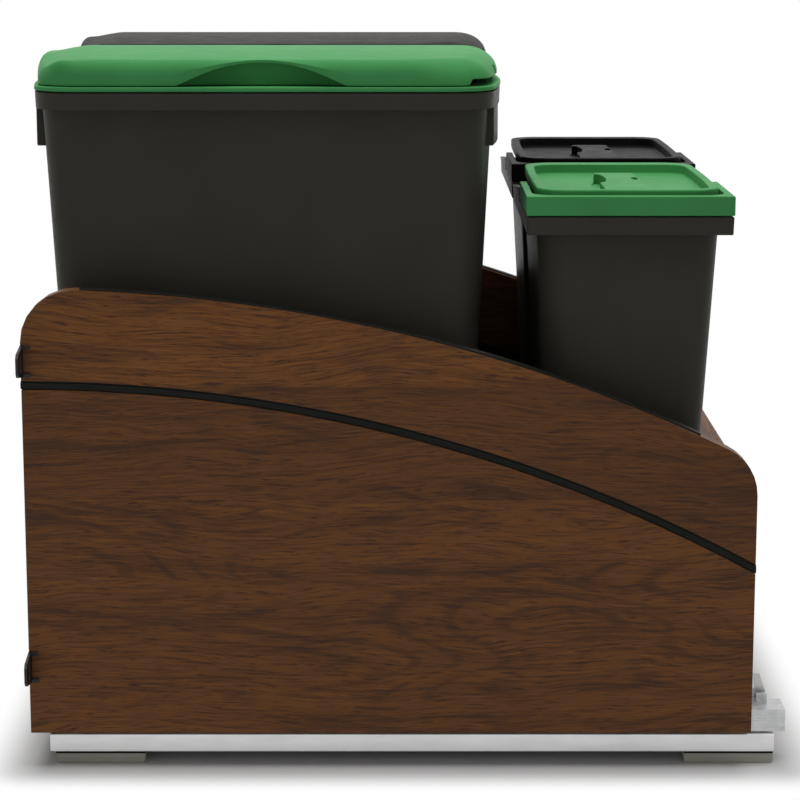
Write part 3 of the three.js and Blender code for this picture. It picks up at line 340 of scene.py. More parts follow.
def finish_piece(obj, node, material, place=(0.0, 0.0, 0.0)):
    """Names a piece after the node that it replaces, sets it in place and gives it its body and finish."""
    obj.name = f"{node}_piece"
    obj.data.name = obj.name
    points = np.empty(len(obj.data.vertices) * 3, np.float32)
    obj.data.vertices.foreach_get("co", points)
    points = points.reshape(-1, 3) + np.array(place, np.float32) * MM
    obj.data.vertices.foreach_set("co", points.ravel())
    obj.data.update()
    obj.data.materials.clear()
    obj.data.materials.append(material)
    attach(obj, body_of_node(node))
    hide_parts(node)
    return obj


def copy_of(obj):
    twin = obj.copy()
    twin.data = obj.data.copy()
    bpy.context.collection.objects.link(twin)
    return twin


def dressed(node, material, edge, segments=2, angle=35.0):
    """The node's own shape with its flat faces made whole and its edges eased."""
    source = frame["nodes"][node]
    obj = bpy.data.objects.new(node, source.data.copy())
    bpy.context.collection.objects.link(obj)
    bm = bmesh.new()
    bm.from_mesh(obj.data)
    bmesh.ops.remove_doubles(bm, verts=bm.verts, dist=0.002 * MM)
    bmesh.ops.dissolve_limit(bm, angle_limit=math.radians(0.4), verts=bm.verts, edges=bm.edges)
    bm.to_mesh(obj.data)
    bm.free()
    ease(obj, edge, segments, angle)
    shade(obj)
    return finish_piece(obj, node, material)


# ---- Materials -------------------------------------------------------------------------------


class Graph:
    """A node tree, with short calls for the nodes that the scene uses."""

    def __init__(self, tree):
        self.tree = tree

    def add(self, kind, inputs, **properties):
        node = self.tree.nodes.new(kind)
        for key, value in properties.items():
            setattr(node, key, value)
        for socket, value in inputs.items():
            if isinstance(value, bpy.types.NodeSocket):
                self.tree.links.new(value, node.inputs[socket])
            else:
                node.inputs[socket].default_value = value
        return node

    def scaled(self, vector, x, y, z):
        return self.add("ShaderNodeMapping", {"Vector": vector, "Scale": (x, y, z)}).outputs[0]

    def moved(self, vector, offset):
        return self.add("ShaderNodeVectorMath", {0: vector, 1: offset}, operation="ADD").outputs[0]

    def noise(self, vector, size, detail=2.0, roughness=0.5):
        """Noise whose lumps are about size millimetres."""
        settings = {"Vector": vector, "Scale": 1 / (size * MM), "Detail": detail, "Roughness": roughness}
        return self.add("ShaderNodeTexNoise", settings).outputs[0]

    def math(self, operation, a, b=0.0, clamp=False):
        return self.add("ShaderNodeMath", {0: a, 1: b}, operation=operation, use_clamp=clamp).outputs[0]

    def between(self, value, low, high, to_low=0.0, to_high=1.0):
        ends = {"Value": value, "From Min": low, "From Max": high, "To Min": to_low, "To Max": to_high}
        return self.add("ShaderNodeMapRange", ends, interpolation_type="SMOOTHSTEP").outputs[0]

    def mix(self, factor, a, b):
        return self.add("ShaderNodeMix", {0: factor, 6: a, 7: b}, data_type="RGBA").outputs[2]

    def edges(self, radius):
        """One on edges, falling to nothing about radius millimetres from them."""
        rounded = self.add("ShaderNodeBevel", {"Radius": radius * MM}, samples=3).outputs[0]
        flat = self.add("ShaderNodeNewGeometry", {}).outputs["Normal"]
        together = self.add("ShaderNodeVectorMath", {0: rounded, 1: flat}, operation="DOT_PRODUCT")
        return self.between(together.outputs["Value"], 0.995, 0.8)

    def bump(self, height, distance, strength=1.0, under=None):
        inputs = {"Height": height, "Distance": distance * MM, "Strength": strength}
        if under is not None:
            inputs["Normal"] = under
        return self.add("ShaderNodeBump", inputs).outputs[0]

    def shows_background(self):
        """One for camera, mirror and clear rays."""
        path = self.add("ShaderNodeLightPath", {}).outputs
        either = self.math("ADD", path["Is Camera Ray"], path["Is Glossy Ray"])
        return self.math("ADD", either, path["Is Transmission Ray"], clamp=True)

    def show(self, shader, output):
        self.tree.links.new(shader, self.tree.nodes[output].inputs["Surface"])


class Finish(Graph):
    """A material whose tree feeds one main shader."""

    def __init__(self, name, **settings):
        self.material = bpy.data.materials.new(name)
        self.material.use_nodes = True
        super().__init__(self.material.node_tree)
        self.shader = self.tree.nodes["Principled BSDF"]
        for key, value in settings.items():
            self.shader.inputs[key.replace("_", " ")].default_value = value
        self.place = self.add("ShaderNodeTexCoord", {}).outputs["Object"]

    def set(self, socket, value):
        self.tree.links.new(value, self.shader.inputs[socket])


def srgb(text):
    """A colour written as in a paint program, as linear light."""
    values = [int(text[i:i + 2], 16) / 255 for i in (1, 3, 5)]
    linear = [v / 12.92 if v <= 0.04045 else ((v + 0.055) / 1.055) ** 2.4 for v in values]
    return (*linear, 1.0)


def shaded(colour, level):
    """A linear colour made darker or lighter."""
    return (*[min(1.0, v * level) for v in colour[:3]], 1.0)


WALNUT = {
    "dark ground": srgb("#613A1B"),
    "light ground": srgb("#89562A"),
    "middle ground": srgb("#7E4F25"),
    "figure": srgb("#351E10"),
    "band": srgb("#3C2412"),
    "dark streak": srgb("#392112"),
    "light streak": srgb("#9A6532"),
    "dash": srgb("#2A160E"),
    "light fibre": srgb("#94602F"),
    "dark fibre": srgb("#371F11"),
    "dark leaf": srgb("#301B0E"),
    "worn edge": srgb("#2E1A10"),
}


def walnut(name, along, shift, lowest=0.0, leaves=()):
    """Walnut veneer. along is the axis that the grain runs on, and shift moves the pattern. lowest is the
    darkness of the lowest leaf, and leaves are (height, offset, change of darkness) of those above."""
    g = Finish(name, Roughness=0.5, Specular_IOR_Level=0.22)

    def drawn_out(vector, length, width=1.0):
        """A place scaled down along the grain, so that noise on it is drawn out."""
        return g.scaled(vector, *[length if axis == along else width for axis in "xyz"])

    def blend(factor, tone):
        return g.mix(factor, body, WALNUT[tone])

    place = g.moved(g.place, shift)
    height = g.add("ShaderNodeSeparateXYZ", {0: g.place}).outputs["Z"]
    darkness = lowest
    for level, offset, change in leaves:
        over = g.math("GREATER_THAN", height, level * MM)
        jump = g.add("ShaderNodeVectorMath", {0: offset, "Scale": over}, operation="SCALE").outputs[0]
        place = g.moved(place, jump)
        darkness = g.math("ADD", darkness, g.math("MULTIPLY", over, change))
    # Slow waves bend the grain; the grain itself is noise drawn out along the board
    wave = g.math("MULTIPLY", g.noise(drawn_out(place, 0.35), 85, 2), 0.05)
    ripple = g.math("MULTIPLY", g.noise(drawn_out(place, 0.25), 16, 2), 0.004)
    bend = g.add("ShaderNodeCombineXYZ", {"Z": g.math("ADD", wave, ripple)}).outputs[0]
    bent = g.moved(place, bend)
    grain = drawn_out(bent, 0.07)
    long_grain = drawn_out(bent, 0.0315)
    broad = g.noise(grain, 26, 3, 0.55)
    middle = g.noise(grain, 6, 3, 0.6)
    streak = g.noise(long_grain, 1.6, 3, 0.7)
    fibre = g.noise(long_grain, 0.7, 2, 0.6)
    dashes = g.between(g.noise(grain, 1.1, 2, 0.6), 0.58, 0.66)
    contours = g.math("SINE", g.math("MULTIPLY", g.noise(drawn_out(bent, 0.16, 0.8), 60, 1), 95.0))
    figure = g.math("MULTIPLY", g.between(contours, 0.35, 1.0), g.between(broad, 0.62, 0.4))
    body = g.mix(g.between(broad, 0.34, 0.66), WALNUT["dark ground"], WALNUT["light ground"])
    body = blend(g.between(middle, 0.36, 0.66), "middle ground")
    body = blend(g.math("MULTIPLY", figure, 0.55), "figure")
    body = blend(g.between(middle, 0.47, 0.3, 0.0, 0.5), "band")
    body = blend(g.between(streak, 0.48, 0.34, 0.0, 0.7), "dark streak")
    body = blend(g.between(streak, 0.56, 0.7, 0.0, 0.5), "light streak")
    body = blend(g.math("MULTIPLY", dashes, 0.75), "dash")
    body = blend(g.between(fibre, 0.54, 0.7, 0.0, 0.5), "light fibre")
    body = blend(g.between(fibre, 0.48, 0.33, 0.0, 0.6), "dark fibre")
    body = blend(darkness, "dark leaf")
    body = blend(g.math("MULTIPLY", g.edges(1.0), 0.55), "worn edge")
    g.set("Base Color", body)
    g.set("Roughness", g.between(fibre, 0.2, 0.8, 0.42, 0.62))
    g.set("Normal", g.bump(g.math("SUBTRACT", fibre, dashes), 0.06, 0.5))
    return g.material


def moulded(name, colour, roughness, edge_colour, specular=0.03):
    """Moulded polymer: a fine tooled texture, faint cloudiness, small scuffs and rubbed edges."""
    g = Finish(name, Roughness=roughness, Specular_IOR_Level=specular)
    cloudy = g.noise(g.place, 60, 3)
    fine = g.noise(g.place, 0.45, 1)
    scuffs = g.noise(g.scaled(g.place, 1.0, 0.3, 1.0), 5.0, 4, 0.7)
    base, edge = srgb(colour), srgb(edge_colour)
    body = g.mix(g.between(cloudy, 0.3, 0.7), shaded(base, 0.94), shaded(base, 1.06))
    body = g.mix(g.between(scuffs, 0.62, 0.8, 0.0, 0.06), body, edge)
    body = g.mix(g.math("MULTIPLY", g.edges(0.8), 0.16), body, edge)
    g.set("Base Color", body)
    g.set("Roughness", g.between(scuffs, 0.3, 0.75, roughness - 0.04, roughness + 0.1))
    g.set("Normal", g.bump(fine, 0.02, 0.35, g.bump(cloudy, 0.25, 0.2)))
    return g.material


def strip_black(name):
    """Black flexible edging, drawn out along its length."""
    g = Finish(name, Roughness=0.5, Specular_IOR_Level=0.12)
    drawn = g.noise(g.scaled(g.place, 1.0, 0.05, 1.0), 1.2, 2)
    cloudy = g.noise(g.place, 30, 2)
    body = g.mix(g.between(drawn, 0.3, 0.7), srgb("#0C0D0A"), srgb("#161713"))
    body = g.mix(g.between(cloudy, 0.4, 0.8, 0.0, 0.3), body, srgb("#1C1E1A"))
    g.set("Base Color", g.mix(g.math("MULTIPLY", g.edges(0.6), 0.2), body, srgb("#4A4C47")))
    g.set("Roughness", g.between(cloudy, 0.3, 0.7, 0.42, 0.6))
    g.set("Normal", g.bump(drawn, 0.05, 0.4))
    return g.material


def painted(name, colour, metal, roughness, grain, chip, chips, specular=0.4):
    """Powder coat: orange peel, a little dust and edges rubbed through to the metal."""
    g = Finish(name, Roughness=roughness, Metallic=metal, Specular_IOR_Level=specular)
    peel = g.noise(g.place, grain, 2)
    cloudy = g.noise(g.place, 45, 3)
    scuffs = g.noise(g.scaled(g.place, 1.0, 0.2, 1.0), 9, 4, 0.7)
    base = srgb(colour)
    body = g.mix(g.between(cloudy, 0.3, 0.7), shaded(base, 0.92), base)
    rubbed = g.math("MULTIPLY", g.edges(0.7), g.between(scuffs, 0.4, 0.7, 0.2, chips + 0.3))
    g.set("Base Color", g.mix(rubbed, body, srgb(chip)))
    g.set("Roughness", g.between(scuffs, 0.35, 0.75, roughness - 0.05, roughness + 0.14))
    g.set("Normal", g.bump(peel, 0.04, 0.4))
    return g.material


def zinc(name):
    """Zinc-plated rolled sheet: lines drawn along it, and small crystals."""
    g = Finish(name, Metallic=0.75, Roughness=0.38)
    drawn = g.noise(g.scaled(g.place, 1.0, 0.03, 1.0), 0.8, 2)
    spangle = g.add("ShaderNodeTexVoronoi", {"Vector": g.place, "Scale": 1 / (5 * MM)}).outputs["Color"]
    grey = g.add("ShaderNodeRGBToBW", {0: spangle}).outputs[0]
    body = g.mix(g.between(grey, 0.1, 0.9), srgb("#BDBEBE"), srgb("#D2D3D3"))
    body = g.mix(g.between(drawn, 0.35, 0.7, 0.0, 0.35), body, srgb("#A4A5A6"))
    g.set("Base Color", g.mix(g.math("MULTIPLY", g.edges(0.5), 0.5), body, srgb("#D8D8D6")))
    g.set("Roughness", g.between(grey, 0.1, 0.9, 0.3, 0.46))
    g.set("Normal", g.bump(drawn, 0.02, 0.3))
    return g.material


def pad(name):
    """Gritty black finish for the thin layers that fill the dark band between each base rail and its foot."""
    g = Finish(name, Roughness=0.85, Specular_IOR_Level=0.2)
    grit = g.noise(g.place, 0.5, 3)
    g.set("Base Color", g.mix(grit, srgb("#0A0A09"), srgb("#1B1B19")))
    g.set("Roughness", g.between(grit, 0.3, 0.7, 0.75, 0.95))
    g.set("Normal", g.bump(grit, 0.08, 0.6))
    return g.material


WALNUT_UPPER = walnut("walnut_upper_board", "y", (0.4, 0.12, 0.33), 0.42, [
    (UPPER_SEAM, (0.0, 0.31, -0.17), -0.36),
])
WALNUT_LOWER = walnut("walnut_lower_board", "y", (0.1, 0.05, 0.02), 0.22, [
    (LOWER_SEAMS[0], (0.0, 0.27, 0.21), 0.16),
    (LOWER_SEAMS[1], (0.0, -0.4, 0.13), -0.08),
])
WALNUT_PANEL = walnut("walnut_panel", "x", (0.2, 0.3, 0.1))
FINISHES = {
    "edge_strip": strip_black("edge_strip_black"),
    "inlay": strip_black("inlay_black"),
    "black_steel": painted("black_powder_coat", "#0B0B0B", 0.0, 0.42, 0.6, "#3A3A39", 0.3, 0.35),
    "zinc_steel": zinc("zinc_plate"),
    "rail_paint": painted("rail_powder_coat", "#E2E2E2", 0.8, 0.34, 0.8, "#F0F0EE", 0.2),
    "foot_plastic": moulded("foot_plastic", "#B9B6AB", 0.55, "#C9C6BD"),
    # The pads are thin black layers that fill the dark band between each base rail and its foot
    "pad_rubber": pad("pad_rubber"),
    "bin_plastic": moulded("bin_plastic", "#42403A", 0.4, "#5C5A53", 0.05),
    "cage_plastic": moulded("cage_plastic", "#171716", 0.5, "#333331"),
    "grey_lid": moulded("grey_lid_plastic", "#282623", 0.45, "#504E4A"),
    "black_lid": moulded("black_lid_plastic", "#100F0E", 0.42, "#2A2A27"),
    "green_lid": moulded("green_lid_plastic", "#4C9B5A", 0.45, "#73B381"),
}


def finish_of(node):
    return FINISHES[slot_of_node(node)]


# ---- Drawer box ------------------------------------------------------------------------------


def sweep(name, section, radius, y_from, y_to, steps=72):
    """A section of (x, distance from the arc) carried along an arc about the sides' centre."""
    rings = []
    for y in np.linspace(y_from, y_to, steps + 1):
        across = y - SWEEP_CENTRE[0]
        rings.append(np.array([
            (x, y, SWEEP_CENTRE[1] + math.sqrt((radius + off) ** 2 - across ** 2)) for x, off in section
        ]))
    return loft(name, rings)


def inlay(word, side):
    """The dark line across a side: a raised rib with a sunk shoulder along each edge, alike on both faces."""
    rib, slope = INLAY_RIB_HALF, INLAY_RIB_HALF + INLAY_RIB_SLOPE
    outer_low, inner_low = SIDE_OUTER - INLAY_SHOULDER, SIDE_INNER + INLAY_SHOULDER
    outer_half = [(outer_low, INLAY_HALF), (outer_low, slope), (SIDE_OUTER, rib)]
    inner_half = [(SIDE_INNER, rib), (inner_low, slope), (inner_low, INLAY_HALF)]
    section = outer_half + [(x, -off) for x, off in reversed(outer_half)]
    section += [(x, -off) for x, off in reversed(inner_half)] + inner_half
    section = [(side * x, off) for x, off in section]
    node = f"side_inlay_{word}"
    obj = sweep(node, section, INLAY_RADIUS, DRAWER_FRONT - INLAY_PROUD, DRAWER_REAR + INLAY_PROUD)
    shade(obj, 40.0)
    finish_piece(obj, node, finish_of(node))


def edge_strip(word, side):
    """The strip let into a side's top edge, with a low crown."""
    middle = side * (SIDE_OUTER - BOARD / 2)
    round_off = ((0.0, 0.8), (0.3, 0.3), (1.1, 0.0))
    crown = [(STRIP_HALF - inwards, STRIP_PROUD - down) for inwards, down in round_off]
    section = [(-STRIP_HALF, -STRIP_SUNK), (STRIP_HALF, -STRIP_SUNK)] + crown
    section += [(-x, off) for x, off in reversed(crown)]
    node = f"top_edge_strip_{word}"
    obj = sweep(node, [(middle + x, off) for x, off in section], SWEEP_RADIUS, *STRIP_ENDS)
    shade(obj, 40.0)
    finish_piece(obj, node, finish_of(node))


def drawer_box():
    for word, side in SIDES:
        dressed(f"side_upper_board_{word}", WALNUT_UPPER, 0.7)
        dressed(f"side_lower_board_{word}", WALNUT_LOWER, 0.7)
        inlay(word, side)
        edge_strip(word, side)
    for panel in ("front", "back", "bottom"):
        dressed(f"drawer_{panel}_panel", WALNUT_PANEL, 0.6)


def fittings():
    """Brackets, screws, slides, rails and feet keep their shapes and get eased edges."""
    for word, _ in SIDES:
        for level in ("upper", "lower"):
            dressed(f"door_bracket_{level}_{word}", FINISHES["black_steel"], 0.35)
            dressed(f"bracket_screw_{level}_{word}", FINISHES["zinc_steel"], 0.12, 1, 50.0)
        for member in ("fixed", "middle", "drawer"):
            dressed(f"slide_{member}_member_{word}", FINISHES["zinc_steel"], 0.25)
        for cage in ("inner", "outer"):
            dressed(f"{cage}_roller_cage_{word}", FINISHES["cage_plastic"], 0.12, 1, 50.0)
        dressed(f"base_rail_{word}", FINISHES["rail_paint"], 0.4, 3)
        dressed(f"large_lid_hinge_pin_{word}", FINISHES["zinc_steel"], 0.3, 2, 50.0)
        for end in ("front", "rear"):
            dressed(f"foot_{end}_{word}", FINISHES["foot_plastic"], 0.5)
            # Thin black layers fill the dark band between each base rail and its foot
            dressed(f"foot_pad_{end}_{word}", FINISHES["pad_rubber"], 0.25)
    for end in ("front", "rear"):
        dressed(f"cross_tie_{end}", FINISHES["rail_paint"], 0.35)


# ---- Bins ------------------------------------------------------------------------------------


def quarter(steps):
    """(outwards, upwards) from the start to the end of a quarter round, both from 0 to 1."""
    return [(math.sin(a), 1 - math.cos(a)) for a in np.linspace(0, math.pi / 2, steps + 1)]


def end_points(bow):
    """How many further points an end of a ring gets: only a bowed one needs any."""
    return END_POINTS if bow else 0


def wall_ring(s, z, inset=0.0):
    """A ring of a tub's tapered wall."""
    share = min(1.0, max(0.0, (z - FLOOR_EDGE) / (s["rim_top"] - FLOOR_EDGE)))
    narrower = s["taper"] * s["rim_top"] * (1 - share) + inset
    radius = s["floor_radius"] + (s["wall_radius"] - s["floor_radius"]) * share - inset
    x, y, bow = s["wall_x"] - narrower, s["wall_y"] - narrower, s["wall_bow"]
    return ring(x, y, max(radius, 2.0), z, bow=bow, ends=end_points(bow))


def rim_ring(s, z, inset=0.0):
    """A ring of a tub's turned-down rim."""
    narrower = RIM_DRAFT * (s["rim_top"] - z) / (s["rim_top"] - s["rim_low"]) + inset
    radius = max(s["rim_radius"] - inset, 0.5)
    x, y, bow = s["rim_x"] - narrower, s["rim_y"] - narrower, s["rim_bow"]
    return ring(x, y, radius, z, bow=bow, ends=end_points(bow))


def tub_rings(s):
    """The rings of a tapered tub with a turned-down rim, from under its floor round to its floor's top."""
    wall, low, top = s["wall"], s["rim_low"], s["rim_top"]
    under = top - wall
    rings = [wall_ring(s, FLOOR_EDGE * up, FLOOR_EDGE * (1 - out)) for out, up in quarter(5)]
    rings += [wall_ring(s, z) for z in np.linspace(FLOOR_EDGE, under - 1.5, 7)[1:]]
    rings += [wall_ring(s, under - 0.4, -0.3), wall_ring(s, under, -1.4)]
    rings += [rim_ring(s, under, wall + 1.0), rim_ring(s, under - 1.0, wall)]
    # The rim's lower edge, rounded on both sides
    inner_edge = ((wall, 0.8), (wall - 0.3, 0.25), (wall - 0.8, 0.0))
    outer_edge = ((0.6, 0.0), (0.2, 0.15), (0.0, 0.6))
    rings += [rim_ring(s, low + up, inset) for inset, up in inner_edge + outer_edge]
    rings += [rim_ring(s, top - RIM_EDGE * (1 - out), RIM_EDGE * up) for out, up in quarter(4)]
    rings += [wall_ring(s, top - RIM_EDGE * up, wall - RIM_EDGE * (1 - out)) for out, up in quarter(4)]
    rings += [wall_ring(s, z, wall) for z in np.linspace(top - 6.0, s["floor"] + FLOOR_FILLET, 6)]
    for out, up in quarter(5)[1:]:
        rings.append(wall_ring(s, s["floor"] + FLOOR_FILLET * (1 - out), wall + FLOOR_FILLET * up))
    return rings


def end_grip(end, inset):
    """The skirt under the middle of an end of the large bin's rim: open below, and bowed like the rim."""
    s = LARGE_BIN
    top = s["rim_low"] + 1.6
    reach = sorted((0.0, end * s["rim_y"]))
    below = GRIP_LOW - 9

    def at(depth, z):
        x, y, radius = s["rim_x"] - depth, s["rim_y"] - depth, s["rim_radius"] - depth
        return ring(x, y, radius, z, bow=s["rim_bow"], ends=END_POINTS)

    def part(name, rings, half):
        return combine(loft(name, rings), "INTERSECT", block("part", (-half, half), reach, (below, top + 1)))

    solid = [at(inset + GRIP_CHAMFER, GRIP_LOW), at(inset, GRIP_LOW + GRIP_CHAMFER), at(inset, top)]
    hollow = [at(inset + s["wall"], GRIP_LOW - 4), at(inset + s["wall"], top + 2)]
    # The grip ends halfway into the tub's wall
    core = loft("core", [wall_ring(s, below, s["wall"] / 2), wall_ring(s, top + 3, s["wall"] / 2)])
    grip = part("grip", solid, GRIP_HALF)
    combine(grip, "DIFFERENCE", part("pocket", hollow, GRIP_HALF - s["wall"]), core)
    return ease(grip, 0.4)


def large_bin():
    grips = (end_grip(1, GRIP_INSETS["rear"]), end_grip(-1, GRIP_INSETS["front"]))
    return shade(combine(loft("large_bin", tub_rings(LARGE_BIN)), "UNION", *grips))


def small_bin():
    """Pivot lugs just inside the bail's arms, and raised cheeks along the far half of each end."""
    s = SMALL_BIN
    root = s["rim_top"] - s["wall"] / 2
    far = -s["rim_x"] - CHEEK_OVERHANG
    lug_outer = s["rim_y"] - BAIL_ARM - 0.3
    cheek_outline = [
        (far, root), (CHEEK_START, root),
        (CHEEK_START, s["rim_top"] + CHEEK_HEIGHT), (far, s["rim_top"] + CHEEK_FAR_HEIGHT),
    ]
    obj = loft("small_bin", tub_rings(s))
    for end in (1, -1):
        across = (end * (lug_outer - LUG_THICK), end * lug_outer)
        lug = block("lug", span_about(PIVOT_X, LUG_HALF), across, (root, s["rim_top"] + LUG_HEIGHT))
        ease(lug, 0.8, 3)
        reach = sorted((end * (lug_outer - LUG_THICK - 1), end * (lug_outer + 1)))
        hole = rod("hole", "y", PEG_RADIUS + 0.3, *reach, PIVOT_X, s["rim_top"] + PIVOT_HEIGHT)
        combine(lug, "DIFFERENCE", hole)
        span = sorted((end * (s["rim_y"] - CHEEK_WIDTH), end * (s["rim_y"] + CHEEK_PROUD)))
        cheek = ease(prism("cheek", cheek_outline, "y", *span), 0.7, 3)
        combine(obj, "UNION", lug, cheek)
    return shade(obj)


# ---- Large lids ------------------------------------------------------------------------------


def lid_ring():
    """The ring on the bin's rim: a flange, a land on the rim, a skirt in the mouth and two hinge lugs."""
    s = LARGE_BIN
    top = s["rim_top"]
    mouth = s["wall"] + 1.0

    def flange(inset, z):
        x, y = s["rim_x"] + RING_PROUD - inset, s["rim_y"] + RING_PROUD - inset
        return ring(x, y, s["rim_radius"] - inset, top + z, bow=s["rim_bow"], ends=END_POINTS)

    def within(inset, z, easing):
        x, y = s["wall_x"] - inset, s["wall_y"] - inset
        return ring(x, y, s["wall_radius"] - easing, top + z, bow=s["wall_bow"], ends=END_POINTS)

    rings = [flange(0.5, RING_LOW), flange(0.15, RING_LOW + 0.15), flange(0.0, RING_LOW + 0.6)]
    edge = 1.2
    rings += [flange(edge * up, RING_TOP - edge * (1 - out)) for out, up in quarter(4)]
    land, bottom = RING_LAND, -RING_SKIRT_DROP
    for inset, down in ((0.6, 0.0), (0.1, 0.2), (0.0, 0.6)):
        rings.append(within(land - inset, RING_TOP - down, land - inset))
    rings += [within(land, RING_LOW, land), within(mouth + 2.0, RING_LOW, mouth + 2.0)]
    for inset, up, easing in ((3.5, 0.4, 2.0), (3.0, 0.0, 1.6), (2.0, 0.0, 0.6), (1.5, 0.5, 0.0)):
        rings.append(within(mouth + inset, bottom + up, mouth + easing))
    rings += [within(mouth, 0.0, mouth), within(0.5, 0.0, 0.5), within(0.5, RING_LOW, 0.5)]
    obj = loft("lid_ring", rings, loop=True)
    for end in (1, -1):
        post = block("post", span_about(end * RING_LUG_X, LUG_WIDTH / 2),
                     (PIN_Y - LUG_RADIUS, PIN_Y + 1.4), (top + RING_TOP - 0.8, top + PIN_HEIGHT))
        combine(obj, "UNION", knuckled(post, end * RING_LUG_X))
    return shade(obj)


def knuckled(lug, x):
    """A hinge lug with its round end about the pin and a bore through it."""
    low, high = span_about(x, LUG_WIDTH / 2)
    pin_z = LARGE_BIN["rim_top"] + PIN_HEIGHT
    combine(lug, "UNION", rod("knuckle", "x", LUG_RADIUS, low, high, PIN_Y, pin_z))
    combine(lug, "DIFFERENCE", rod("bore", "x", BORE_RADIUS, low - 1, high + 1, PIN_Y, pin_z))
    return ease(lug, 0.25, 1, 50.0)


def smoothstep(t):
    t = min(1.0, max(0.0, t))
    return t * t * (3 - 2 * t)


def shell_top(x, y):
    """Height of the dome above the rim, without its rounded edges: crowned, with a low ledge in front."""
    rise = smoothstep((y + SHELL_Y - LEDGE_LENGTH) / LEDGE_RISE)
    across = (x / CROWN_HALF) ** 2
    return DOME_TOP - CROWN * across - (LEDGE_DROP + LEDGE_CROWN * across) * (1 - rise)


def scoop_share(x, y):
    """How far along the scoop a point of a long side is: 0 at its middle, 1 at its ends and beyond."""
    if abs(x) < SHELL_X - SHELL_RADIUS:
        return 1.0
    return min(1.0, abs(y - SCOOP_Y) / SCOOP_HALF)


def shell_low_plain(y):
    """The shell's lower edge with no scoops: level, raised in the slot behind."""
    return SHELL_LOW + (SLOT_TOP - SHELL_LOW) * smoothstep((y - SLOT_START) / 3.0)


def shell_low(x, y):
    """The shell's lower edge: level, raised in an arch over the scoops and in the slot behind."""
    arch = SHELL_LOW - 1 + (SCOOP_PEAK - SHELL_LOW + 1) * (1 - scoop_share(x, y) ** 2.3) ** 1.3
    return max(arch, shell_low_plain(y))


def dome_edge(y):
    """Reach and drop of the dome's rounded edge at a place along its outline."""
    to_rear = smoothstep((y - SHELL_Y + REAR_START) / REAR_LENGTH)
    to_front = smoothstep((-y - SHELL_Y + FRONT_START) / FRONT_LENGTH)
    return [a + (b - a) * to_rear + (c - a) * to_front for a, b, c in zip(EDGE_SIDE, EDGE_REAR, EDGE_FRONT)]


def brow(x, y):
    """Height of the crisp line over a scoop, where a face stands upright between it and the scoop's arch."""
    if scoop_share(x, y) >= 1.0:
        return 0.0
    return BROW_FOOT + (BROW_PEAK - BROW_FOOT) * (1 - (abs(y - SCOOP_Y) / BROW_HALF) ** 1.8)


def shell_outlines():
    """The shell's outline, pushed in step by step, with the same points each time."""
    dense = SCOOP_Y + np.linspace(-SCOOP_HALF - 2, SCOOP_HALF + 2, 71)
    to_front = np.linspace(-STRAIGHT_HALF, dense[0] - 4, 14)
    to_rear = np.linspace(dense[-1] + 4, STRAIGHT_HALF, 14)
    ys = np.concatenate([to_front, dense, to_rear])
    outlines = []
    for v in np.arange(0.0, DOME_DEPTH + SHELL_WALL + 1.0, INSET_STEP):
        x, y, radius = SHELL_X - v, SHELL_Y - v, max(SHELL_RADIUS - v, 2.0)
        outlines.append(ring(x, y, radius, 0.0, ys=ys, arc=14, bow=SHELL_BOW, ends=END_POINTS))
    return np.array(outlines)


